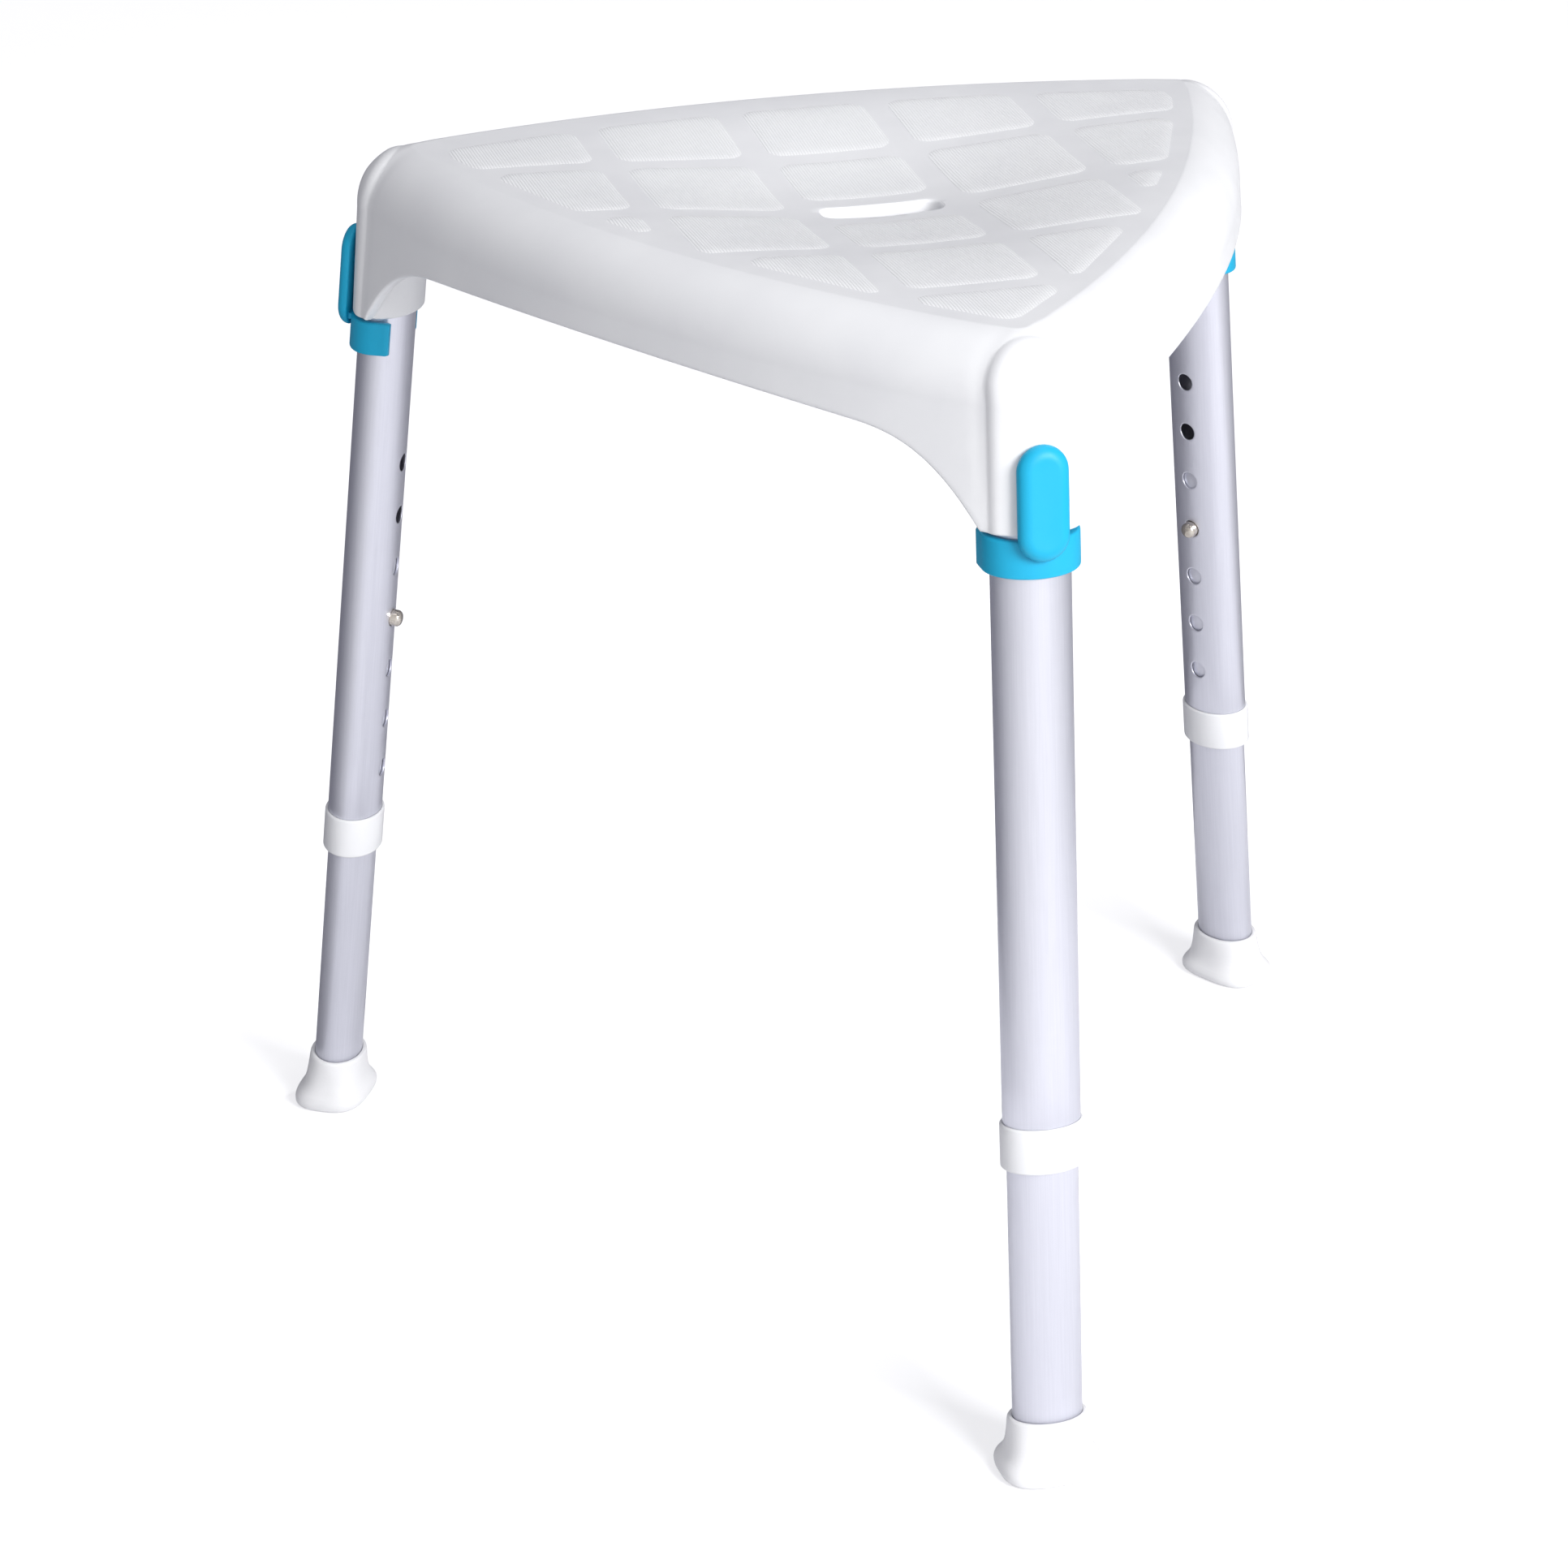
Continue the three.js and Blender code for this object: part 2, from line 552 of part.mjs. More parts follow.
function buildLeg(name, index) {
  const turned = new THREE.Group();
  turned.rotation.z = index * LEG_STEP;
  const level = new THREE.Group();
  level.position.y = -FOOT_CIRCLE;
  const tilted = new THREE.Group();
  tilted.rotation.x = -SPLAY;
  turned.add(level);
  level.add(tilted);
  addPiece(tilted, `${name}_upper_tube`, upperTube(), anodised);
  addPiece(tilted, `${name}_collar`, collar(), white);
  addPiece(tilted, `${name}_locking_clip`, lockingClip(), blue);
  addPiece(tilted, `${name}_lower_tube`, lowerTube(), anodised);
  addPiece(tilted, `${name}_guide_plug`, guidePlug(), white);
  addPiece(tilted, `${name}_snap_button`, snapButton(), nickel);
  addPiece(tilted, `${name}_button_spring`, buttonSpring(), steel);
  addPiece(tilted, `${name}_foot_washer`, footWasher(), steel);
  addPiece(level, `${name}_foot`, foot(), rubber);
  return turned;
}

const stool = new THREE.Group();
stool.position.y = CENTRE_SHIFT;
addPiece(stool, 'seat_shell', seatShell(), white);
LEG_NAMES.forEach((name, index) => stool.add(buildLeg(name, index)));

export default stool;
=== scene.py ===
from math import acos, atan2, cos, dist, pi, radians, sin, sqrt, tan

import bpy
import numpy as np
from mathutils import Matrix, Vector


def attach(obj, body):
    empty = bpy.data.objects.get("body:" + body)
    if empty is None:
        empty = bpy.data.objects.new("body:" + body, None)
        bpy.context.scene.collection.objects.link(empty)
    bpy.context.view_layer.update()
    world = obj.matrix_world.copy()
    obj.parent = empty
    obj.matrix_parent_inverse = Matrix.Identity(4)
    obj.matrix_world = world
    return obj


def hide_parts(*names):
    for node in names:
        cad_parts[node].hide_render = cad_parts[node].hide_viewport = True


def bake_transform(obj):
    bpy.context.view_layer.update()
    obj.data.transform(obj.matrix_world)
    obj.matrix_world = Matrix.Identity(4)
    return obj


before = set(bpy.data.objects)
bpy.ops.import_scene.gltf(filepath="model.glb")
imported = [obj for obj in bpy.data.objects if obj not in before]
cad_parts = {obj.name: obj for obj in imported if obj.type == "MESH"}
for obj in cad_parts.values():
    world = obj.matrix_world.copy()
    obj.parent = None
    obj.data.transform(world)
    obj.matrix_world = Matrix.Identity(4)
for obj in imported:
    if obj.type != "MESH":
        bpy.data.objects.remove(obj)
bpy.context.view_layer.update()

MM = 0.001

# ---- Stance ----
LEG_NAMES = ("front", "right", "left")
LEG_STEP = 2 * pi / len(LEG_NAMES)
SPLAY = radians(6.6)
FOOT_CIRCLE = 259.0        # leg axis to the legs' common centre, at the floor
CENTRE_SHIFT = 60.8        # the legs' centre is this far behind the model's origin

# ---- Seat ----
SIDE_DISTANCE = 148.5      # centre to the middle of each side
CORNER_DISTANCE = 194.9    # centre to the middle of each corner arc
CORNER_RADIUS = 28.5
OUTLINE_LEVEL = 420.0      # height at which the three values above hold
SKIRT_DRAFT = 0.09
WALL_TOP = 441.0
ROLL_RADIUS = 26.0
ROLL_END = radians(78.9)   # the roll-over stops here, at a soft crease
CREASE_INSET = 22.9
CREASE_HEIGHT = 466.5
DISH_DEPTH = 9.5
DISH_POWER = 2.2
SHELL = 3.5                # wall thickness
LIP = 1.5                  # rounding of the skirt's bottom edge
ARCH_LIP = 1.8             # how much thicker that edge is along the arches
SKIRT_END = 422.0
SKIRT_RISE = 9.0
ARCH_START = 19.7          # sideways from the leg's axis
ARCH_END = 60.0
ARCH_POWER = 2.6
ARCH_LIP_START = (ARCH_START - 3.0, ARCH_START + 1.0)   # its thicker edge comes in between these
ARCH_LIP_END = (ARCH_END - 10.0, ARCH_END + 20.0)       # and fades out between these
ARCH_LIP_POWER = 6
SIDE_STEPS = 132
SIDE_CROWDING = 0.4 * pi   # how much closer a side's points are near the corners
CORNER_STEPS = 66
WALL_STEPS = 14
ROLL_STEPS = 42
INNER_WALL_STEPS = 16
INNER_ROLL_STEPS = 14
TOP_SHARES = (0.004, 0.01, 0.02, *np.linspace(0.035, 0.93, 40), 0.96, 0.985)   # from rim to slot
UNDER_SHARES = np.linspace(0.9, 0.03, 16)               # from slot to rim, under the top

# ---- Boss on each corner ----
BOSS_HALF = 18.3
BOSS_TOP = 468.5
BOSS_STEP = 1.3            # height of its edge
BOSS_CROWN = 0.9           # extra height in its middle
BOSS_EDGE = 4.2            # width of its rounded edge
BOSS_FADE = 12.0           # its crown fades out over this height
HOLLOW_DEPTH = 0.22        # of the slight hollow along its foot
HOLLOW_PLACE = 2.0
HOLLOW_WIDTH = 2.2

# ---- Drain slot ----
SLOT_Y = -17.2
SLOT_HALF = (25.0, 8.2)
SLOT_CORNER = 6.0
SLOT_EDGE = 1.6
SLOT_EDGE_STEPS = 6
SLOT_ARC_STEPS = 59
SLOT_LINE_STEPS = 12
SLOT_WALL = (              # out and down from its edge, to the bead round its lower end
    (0, 3.0), (0, 4.4), (0, 5.2), (0.4, 5.6), (1.2, 5.8), (2.0, 5.5), (2.3, 4.6), (2.6, SHELL))

# ---- Pads ----
PAD_COLUMNS = ((-160.0, -102.9), (-92.6, -37.9), (-27.3, 27.3), (37.9, 92.6), (102.9, 160.0))
PAD_ROWS = ((56.5, 115.0), (-11.7, 47.2), (-79.2, -22.3), (-144.0, -88.6), (-196.0, -153.0))
SLOT_MARGINS = (2.0, -36.2)   # the middle column keeps clear of the slot between these
PAD_INSET = 3.0            # the pads' edge, from the inner end of the full roll-over
BACK_INSET = 11.6          # the same at the back
FULL_ROLL_INSET = 27.9
PAD_CORNER = 7.5
PAD_HEIGHT = 0.34
PAD_EDGE = 5.4
PAD_SPACING = 1.1
PAD_LEAST_AREA = 90.0
PAD_LEAST_EDGE = 2.5
PAD_LEAST_POINTS = 24
PAD_LEAST_SHARE = 0.12     # no ring is smaller than this share of the outline
PAD_CORNER_STEPS = 12
PAD_CORNER_SHARE = 0.46    # of the shorter edge, that a corner's rounding may take
PAD_RINGS = (0, 0.35, 0.8, 1.4, 2.1, 3.0, 4.2, 6.0, 9.0, 13.0, 18.0, 24.0)
PAD_SWELL = 2.2            # power of its edge's profile
PAD_FOOT = 0.5             # how far its edge reaches into the dish
MIDDLE_COLUMN = 2
ROW_BEHIND_SLOT = 1
ROW_BEFORE_SLOT = 2
KNURL_PITCH = 1.27

# ---- Ribs under the seat ----
RIB_BOTTOM = 448.0
RIB_THICKNESS = 3.0
RIB_RING_RADIUS = 46.0
RIB_SINK = 2.0             # how far under the top surface the ribs end
RIB_SECTION = (            # share of its half thickness, and height over its bottom (None at its top)
    (-1, None), (-0.86, 0.7), (-0.45, 0), (0.45, 0), (0.86, 0.7), (1, None))
RIB_RING_STEPS = 72
STRAIGHT_STEPS = 41
SPOKE_STEPS = 25

# ---- Legs: half sizes [tangential, radial], heights along the leg's axis ----
UPPER_HALF = (15.9, 11.8)
UPPER_WALL = 1.0
UPPER_SPAN = (137.0, 446.5)
LOWER_HALF = (14.6, 10.5)
LOWER_WALL = 1.2
LOWER_SPAN = (7.0, 285.0)
COLLAR_HALF = (17.1, 13.0)
COLLAR_SPAN = (134.5, 153.5)
COLLAR_EDGE = 1.1
COLLAR_LIP = ((0.12, 0), (-0.22, 0.3), (-0.22, 2.0), (0, 2.2))   # growth of its bore, and depth
COLLAR_FOOT = 0.3          # chamfer of its lower bore
LEDGE = 0.1                # height of the slope under the upper tube's end
SOCKET_HALF = (19.1, 15.0)
SOCKET_FRONT = 12.9        # the socket's front is the seat's own wall, so the column stops inside it
SOCKET_BOTTOM = 396.5      # at the leg's axis; its edge is level
SOCKET_RINGS = ((440.0, 19.7, 13.5), (448.3, 18.2, 12.3), (455.0, 15.3, 9.4), (463.0, 12.0, 6.0))
SOCKET_LIFT = 0.15         # the column ends this far above the seat's wall
SOCKET_EDGE = 1.2
BORE_TOP = 448.0
BORE_EDGE = ((0, 0.6), (0.2, 0.15), (0.6, 0))   # growth of the bore near its mouth, and height
GAP = 0.3
ROUND_STEPS = 96
ROUND_ANGLES = np.arange(ROUND_STEPS) * 2 * pi / ROUND_STEPS
LATHE_STEPS = 48
RIM_SHARE = 0.3            # rounding of a tube's ends, as a share of its wall

# ---- Holes and button ----
LOWEST_HOLE = 175.8
HOLE_PITCH = 25.0
HOLE_HEIGHTS = tuple(LOWEST_HOLE + HOLE_PITCH * k for k in range(7))
HOLE_RADIUS = 4.0
HOLE_BLOCK = 6.0           # half side of the patch of wall round a hole
HOLE_EDGE = 0.35
HOLE_MARGIN = 1.0          # width of the ring of wall round a hole
BLOCK_CELLS = 8
SIDE_CELLS = 24
ARC_SAMPLES = 2881
PEG_HEIGHT = 415.0
PEG_RADIUS = 3.6
PEG_END = 9.0
PEG_CHAMFER = 0.6
CUTTER_END = 30.0          # the peg hole's cutter starts this far out from the leg's axis
BUTTON_HEIGHT = HOLE_HEIGHTS[3]
BUTTON_RADIUS = 3.7
BUTTON_TIP = 16.2
BUTTON_FLANGE = (7.1, 8.3)
BUTTON_BACK_RADIUS = 0.6   # innermost ring of its flat back
FLANGE_RADIUS = 4.9
FLANGE_EDGE = 0.3
BUTTON_HEAD = (            # inset from its radius, and distance from its tip
    (0, 2.3), (0.12, 1.7), (0.5, 1.05), (1.0, 0.6), (1.35, 0.42), (2.2, 0.14), (3.3, 0))
SPRING_WIDTH = 10.0
SPRING_THICKNESS = 0.8
SPRING_PATH = (            # lengthwise place and height, down one arm, round the bend and up the other
    (-7.8, 258.0), (-7.8, 250.0), (-7.8, 242.0), (-7.8, 234.0), (-7.8, 228.0),
    (-7.5, 226.4), (-6.9, 225.6), (-6.1, 225.6), (-5.2, 226.4),
    (-2.0, 231.2), (1.2, 236.0), (4.0, 240.4), (5.4, 242.8), (6.1, 244.6), (6.35, 247.0),
    (6.35, 251.0), (6.35, 256.0), (6.35, 261.6))

# ---- Foot ----
FOOT_TOP = 25.0
SOLE_HALF = (21.5, 17.0)
NECK_HALF = (16.4, 12.3)
FOOT_FLOOR = 4.9           # inside, where the tube's end rests
FOOT_GRIP = 0.06           # gap between its bore and the tube
FOOT_MOUTH = ((0.4, -0.02), (0.12, 0.1), (0, 0.35))   # growth of its bore at the top, and depth
FOOT_SQUARENESS = ((0, 0.16, 0.5, 1), (1, 1, 0.55, 0))   # share of its height, and squareness
FOOT_PROFILE = (           # share of its height, and of the way from neck to sole
    (0.0, 0.45), (0.012, 0.62), (0.03, 0.76), (0.055, 0.88), (0.085, 0.955), (0.12, 0.99), (0.155, 1.0),
    (0.19, 0.98), (0.225, 0.92), (0.26, 0.83), (0.295, 0.71), (0.33, 0.58), (0.37, 0.46), (0.42, 0.35),
    (0.49, 0.25), (0.58, 0.17), (0.7, 0.12), (0.82, 0.09), (0.91, 0.08), (0.96, 0.06), (0.985, 0.01),
    (1.0, -0.07))

# ---- Clip ----
CLIP_SPAN = (380.1, 394.8)  # at the leg's axis; its edges are level
CLIP_MIDDLE = (17.9, 13.7)
CLIP_THICKNESS = 3.2
CLIP_ARM = 7.2
CLIP_EDGES = (1.1, 0.4)    # rounding of its outer and inner edges
CLIP_EDGE_STEPS = 5
CLIP_ARM_STEPS = 6
CLIP_BEND_STEPS = 72
CLIP_END_ROUNDING = 0.8    # length over which its ends taper
CLIP_END_TAPER = 0.35      # share of the thickness lost there
CLIP_END_DROP = 0.12       # share of that taper in its height
TONGUE_SPAN = (385.8, 430.8)
TONGUE_HALF = 10.2
TONGUE_FACES = (15.5, 20.8)
TONGUE_BACK = ((0.9, 0), (0.25, 0.25), (0, 0.8))   # inset, and distance from the back
TONGUE_ROUNDING = (5.0, 4.2)                       # width and depth of the face's edge
TONGUE_CROWN = ((6.4, 0.08), (8.6, 0.12))          # inset, and depth of the face's hollow
TONGUE_EDGE_STEPS = 10
TONGUE_ARC_STEPS = 32
TONGUE_LINE_STEPS = 9
ROOT_HALF = 7.3
ROOT_RISE = 4.5            # its lower end, above the tongue's
ROOT_DEPTH = (1.5, 2.2)    # outward and inward from the tongue's back
ROOT_TOP = 2.0             # further inward, where it stays under the band's top edge
PEG_ROOT = 0.4             # how far the peg reaches into the tongue

# ---- Camera ----
CAMERA_PLACE = (-0.48286, -1.57458, 0.98621)
CAMERA_YAW = radians(15.197)
CAMERA_PITCH = radians(25.030)
CAMERA_ROLL = radians(-0.4535)
LENS = 98.12
SENSOR_WIDTH = 36.0
VIEW_RANGE = (0.05, 60.0)

# ---- Studio, in metres ----
FLOOR_HALF = 12.0
FLOOR_GLOW = 0.48
WALL_DISTANCE = 11.0
WALL_HEIGHT = 9.0
WALL_GLOW = 0.9
CARD_RADIUS = 0.65
CARD_PLACE = (0.15, -0.32)
CARD_COLOUR = (0.84, 0.84, 0.86)
STAGE_STEPS = 64
PAPER_ROUGHNESS = 0.9
WHITE = (1, 1, 1, 1)
FLOOR_TONES = ((0.88, 0.88, 0.885), (0.9, 0.9, 0.9))
WALL_TONES = ((0.0, 0.0, 0.0), (0.01, 0.01, 0.01))
ROOM_FRONT = radians(-80)
ROOM_POWER = 1.5
ROOM_DARK = (0.15, 0.15, 0.18)
ROOM_LIGHT = (0.95, 0.95, 0.97)
KEY_AZIMUTH = radians(-66)
KEY_ELEVATION = radians(24)
KEY_STRENGTH = 0.95
KEY_DISTANCE = 2.2
KEY_TARGET = (0, 0, 0.4)
KEY_SIZE = 1.0
TOP_ELEVATION = radians(85)
TOP_STRENGTH = 0.19
TOP_DISTANCE = 2.4
TOP_TARGET = (0, 0, 0.3)
TOP_SIZE = 2.0

# ---- Looks: darker and lighter tone, then roughness ----
SEAT_LOOK = ((0.80, 0.805, 0.82), (0.845, 0.85, 0.86), 0.42)
PAD_LOOK = ((0.87, 0.875, 0.885), (0.90, 0.905, 0.91), 0.45)
UPPER_LOOK = ((0.77, 0.775, 0.85), (0.81, 0.815, 0.89), 0.36)
LOWER_LOOK = ((0.71, 0.715, 0.79), (0.75, 0.755, 0.83), 0.36)
COLLAR_LOOK = ((0.80, 0.805, 0.82), (0.83, 0.835, 0.845), 0.35)
FOOT_LOOK = ((0.79, 0.79, 0.80), (0.84, 0.84, 0.845), 0.62)
CLIP_LOOK = ((0.0, 0.37, 0.60), (0.01, 0.39, 0.63), 0.42)
INNER_LOOK = ((0.62, 0.62, 0.62), (0.7, 0.7, 0.7), 0.5)
NICKEL_LOOK = ((0.62, 0.56, 0.48), (0.78, 0.73, 0.66), 0.16)
STEEL_LOOK = ((0.42, 0.43, 0.45), (0.56, 0.57, 0.6), 0.28)
UPPER_METALLIC = 0.92
LOWER_METALLIC = 0.6
CLIP_SHEEN = 0.35
PLASTIC_SHEEN = 0.5
PLASTIC_IOR = 1.49
CLOUD_SCALE = 22.0         # features to the metre, here and below
GLOSS_SCALE = 90.0
GRAIN_SCALE = 1800.0
GRAIN_DEPTH = 0.00002
STREAKS = (1600.0, 4.0, (1, 1, 0.02))      # scale, detail and stretch along the tube
BROAD_STREAKS = (120.0, 2.0, (1, 1, 0.05))
BLASTING = (2600.0, 2.0, (1, 1, 0.5))
BLASTING_DEPTH = 0.000006
TUBE_ANISOTROPY = 0.35
SMEAR_SCALE = 260.0
HAIRLINE_SCALE = 1400.0
HAIRLINE_DEPTH = 0.00001
NOISE_RANGE = (0.3, 0.7)   # a noise's usual values
MOULDED_UNEVEN = 0.12      # share by which a gloss wanders
KNURLED_UNEVEN = 0.1
RUBBER_GRAIN = (900.0, 0.00004)
KNURL_DEPTH = 0.00009
KNURL_WEIGHTS = (0.75, 0.25)
SHARP_TUBE = 50            # degrees; edges are sharp where faces meet at more than this
SHARP_CLIP = 45
SHARP_FINE = 40


# ---- Mesh building ----

class Shape:
    """Points in millimetres, the faces that join them, and each face's material number."""

    def __init__(self):
        self.points = np.zeros((0, 3))
        self.faces = []
        self.finishes = []

    def add(self, points, faces, finish=0, joined=False):
        """Adds faces between new points or, with joined, between all points so far."""
        start = 0 if joined else len(self.points)
        self.points = np.vstack([self.points, np.asarray(points, float).reshape(-1, 3)])
        self.faces += [tuple(start + i for i in face) for face in faces]
        self.finishes += [finish] * len(faces)
        return self


def leg_matrix(index):
    """From a leg's own frame (z up the leg, +y towards the middle) to the model's."""
    turn = Matrix.Rotation(index * LEG_STEP, 4, "Z")
    lean = Matrix.Rotation(-SPLAY, 4, "X")
    shift = Matrix.Translation((0, CENTRE_SHIFT, 0))
    return shift @ turn @ Matrix.Translation((0, -FOOT_CIRCLE, 0)) @ lean


def levelled(points):
    """Slants points of a leg's own frame, so that their rings are level once the leg leans."""
    slanted = np.array(points, float)
    slanted[:, 2] += slanted[:, 1] * tan(SPLAY)
    return slanted


def placed(points, matrix):
    m = np.array(matrix)
    return points @ m[:3, :3].T + m[:3, 3]


def band(a, b):
    """Quads between two loops of point numbers."""
    return list(zip(a, a[1:] + a[:1], b[1:] + b[:1], b))


def flipped(faces):
    return [face[::-1] for face in faces]


def ring_faces(rows, columns, closed=False):
    """Quads between neighbouring rings; with closed, the last ring joins the first."""
    loops = [list(range(r * columns, (r + 1) * columns)) for r in range(rows)]
    faces = []
    for r in range(rows if closed else rows - 1):
        faces += band(loops[r], loops[(r + 1) % rows])
    return faces


def skin(rings, closed=False, cap_start=False, cap_end=False):
    """Points and faces of a stack of rings, with fans over the ends that are asked for."""
    rings = np.asarray(rings, float)
    rows, columns = rings.shape[:2]
    points = rings.reshape(-1, 3)
    faces = ring_faces(rows, columns, closed)
    if cap_start:
        middle = len(points)
        points = np.vstack([points, rings[0].mean(axis=0)])
        faces += [(middle, (i + 1) % columns, i) for i in range(columns)]
    if cap_end:
        middle, last = len(points), (rows - 1) * columns
        points = np.vstack([points, rings[-1].mean(axis=0)])
        faces += [(middle, last + i, last + (i + 1) % columns) for i in range(columns)]
    return points, faces


def in_scene(name, data):
    made = bpy.data.objects.new(name, data)
    bpy.context.scene.collection.objects.link(made)
    return made


def mesh_object(name, points, faces):
    """Object in the scene whose mesh has these points, in metres."""
    mesh = bpy.data.meshes.new(name)
    mesh.from_pydata(points, [], faces)
    return in_scene(name, mesh)


def make_piece(name, shape, matrix, materials, body):
    """Object that stands for the CAD node `name` and rides on `body`, if there is one."""
    piece = mesh_object(name + "_visual", (placed(shape.points, matrix) * MM).tolist(), shape.faces)
    for material in materials:
        piece.data.materials.append(material)
    piece.data.polygons.foreach_set("material_index", shape.finishes)
    piece.data.polygons.foreach_set("use_smooth", [True] * len(shape.faces))
    piece.data.validate()
    if body:
        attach(piece, body)
    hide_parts(name)
    return piece


def smoothed(piece, angle):
    """Sharp edges where faces meet at more than `angle`; everything else shades smoothly."""
    piece.data.set_sharp_from_angle(angle=radians(angle))


def ellipse(half, height, angles=ROUND_ANGLES):
    """Ring of points, anticlockwise from above, at angles from +y."""
    x, y = -half[0] * np.sin(angles), half[1] * np.cos(angles)
    return np.column_stack([x, y, np.full(len(angles), float(height))])


def grown(half, amount):
    return (half[0] + amount, half[1] + amount)


def lathe(profile, height):
    """Round solid about an axis along y at a height: profile entries are radius and y."""
    t = np.arange(LATHE_STEPS) * 2 * pi / LATHE_STEPS
    rings = []
    for r, y in profile:
        rings.append(np.column_stack([r * np.cos(t), np.full(LATHE_STEPS, y), height - r * np.sin(t)]))
    return skin(rings, cap_start=True, cap_end=True)


def quarter(radius, steps=4):
    """Offsets (in, up) along a quarter circle, from flat to upright."""
    angles = [k * pi / 2 / steps for k in range(steps + 1)]
    return [(radius * (1 - sin(a)), radius * (1 - cos(a))) for a in angles]


def normals(path, closed=False):
    """Unit vectors to the left of a flat path, at each of its points."""
    ahead = np.roll(path, -1, axis=0) - np.roll(path, 1, axis=0)
    if not closed:
        ahead[0], ahead[-1] = path[1] - path[0], path[-1] - path[-2]
    ahead /= np.linalg.norm(ahead, axis=1)[:, None]
    return np.stack([-ahead[:, 1], ahead[:, 0]], axis=1)


# ---- Seat outline ----

def side_arc():
    """Radius of the side arcs, how far behind the centre they turn, and half their sweep."""
    half = CORNER_DISTANCE / 2
    across = CORNER_DISTANCE * sin(LEG_STEP / 2)
    inside = half - SIDE_DISTANCE
    radius = (across ** 2 + inside ** 2 - CORNER_RADIUS ** 2) / (2 * (SIDE_DISTANCE - half - CORNER_RADIUS))
    centre = radius - SIDE_DISTANCE
    return radius, centre, atan2(across, half + centre)


SIDE_RADIUS, SIDE_CENTRE, SIDE_SWEEP = side_arc()
SIDE_MIDDLES = [pi / 2 + k * LEG_STEP for k in range(len(LEG_NAMES))]
SIDE_CENTRES = [(-SIDE_CENTRE * cos(m), -SIDE_CENTRE * sin(m)) for m in SIDE_MIDDLES]


def stations():
    """Round the seat: arc centre, radius, direction, and how far along its side (-1 to 1)."""
    rows = []
    for middle, side_centre in zip(SIDE_MIDDLES, SIDE_CENTRES):
        for i in range(SIDE_STEPS + 1):
            along = sin((2 * i / SIDE_STEPS - 1) * SIDE_CROWDING) / sin(SIDE_CROWDING)
            rows.append((*side_centre, SIDE_RADIUS, middle + along * SIDE_SWEEP, along))
        corner = middle + LEG_STEP / 2
        corner_centre = (CORNER_DISTANCE * cos(corner), CORNER_DISTANCE * sin(corner))
        for i in range(1, CORNER_STEPS):
            angle = corner + (2 * i / CORNER_STEPS - 1) * (LEG_STEP / 2 - SIDE_SWEEP)
            rows.append((*corner_centre, CORNER_RADIUS, angle, 1.0))
    return np.array(rows)


STATIONS = stations()
OUTWARD = np.stack([np.cos(STATIONS[:, 3]), np.sin(STATIONS[:, 3])], axis=1)


def outline(inset, height):
    """Ring at an inset from the outline; inset and height may vary from station to station."""
    reach = STATIONS[:, 2] - inset
    flat = STATIONS[:, :2] + OUTWARD * reach[:, None]
    return np.column_stack([flat, np.broadcast_to(height, reach.shape)])


def wall_inset(height):
    return (height - OUTLINE_LEVEL) * SKIRT_DRAFT


def in_leg(points):
    """Sideways and lengthwise places of seat points in the nearest leg's frame."""
    best = None
    for k in range(len(LEG_NAMES)):
        angle = -pi / 2 + k * LEG_STEP
        reach = points[:, 0] * cos(angle) + points[:, 1] * sin(angle)
        side = -points[:, 0] * sin(angle) + points[:, 1] * cos(angle)
        up = points[:, 2] * cos(SPLAY) + (FOOT_CIRCLE - reach) * sin(SPLAY)
        here = np.stack([side, up, reach], axis=1)
        best = here if best is None else np.where((here[:, 2] > best[:, 2])[:, None], here, best)
    return best[:, 0], best[:, 1]


def skirt_bottom():
    """Height of the skirt's bottom edge: level with the socket's end, then arching up to the sides."""
    side, _ = in_leg(outline(0, 0))
    socket = SOCKET_BOTTOM * cos(SPLAY)
    straight = SKIRT_END + SKIRT_RISE * (1 - STATIONS[:, 4] ** 2)
    share = np.clip((ARCH_END - np.abs(side)) / (ARCH_END - ARCH_START), 0, 1)
    return straight - (straight - socket) * share ** ARCH_POWER


def boss_height(side, up):
    """How far the boss stands out of the corner, with a slight hollow along its foot."""
    above = np.clip(up - (BOSS_TOP - BOSS_HALF), 0, None)
    inside = BOSS_HALF - np.hypot(side, above)
    edge = np.clip(inside / BOSS_EDGE, 0, 1)
    crown = np.clip(inside / BOSS_HALF, 0, 1)
    hollow = HOLLOW_DEPTH * np.exp(-((inside + HOLLOW_PLACE) / HOLLOW_WIDTH) ** 2)
    fade = np.clip((BOSS_TOP - up) / BOSS_FADE, 0, 1)
    return BOSS_STEP * (1 - (1 - edge) ** 2) + BOSS_CROWN * (1 - (1 - crown) ** 2) * fade - hollow


def slot_ring(towards):
    """Flat ring round the drain slot, each point in the direction of a point of `towards`."""
    t = np.linspace(0, pi / 2, SLOT_ARC_STEPS + 1)
    centre = np.array(SLOT_HALF) - SLOT_CORNER
    arc = centre + SLOT_CORNER * np.stack([np.cos(t), np.sin(t)], axis=1)
    arc = np.vstack([[SLOT_HALF[0], 0], arc, [0, SLOT_HALF[1]]])
    lines = [np.linspace(a, b, SLOT_LINE_STEPS, endpoint=False) for a, b in zip(arc[:-1], arc[1:])]
    steps = np.concatenate([*lines, arc[-1:]])
    angles = np.arctan2(steps[:, 1], steps[:, 0])
    away = np.hypot(steps[:, 0], steps[:, 1])
    aim = np.arctan2(towards[:, 1] - SLOT_Y, towards[:, 0])
    folded = np.arctan2(np.abs(np.sin(aim)), np.abs(np.cos(aim)))
    reach = np.interp(folded, angles, away)
    return np.column_stack([reach * np.cos(aim), SLOT_Y + reach * np.sin(aim), np.zeros(len(aim))])


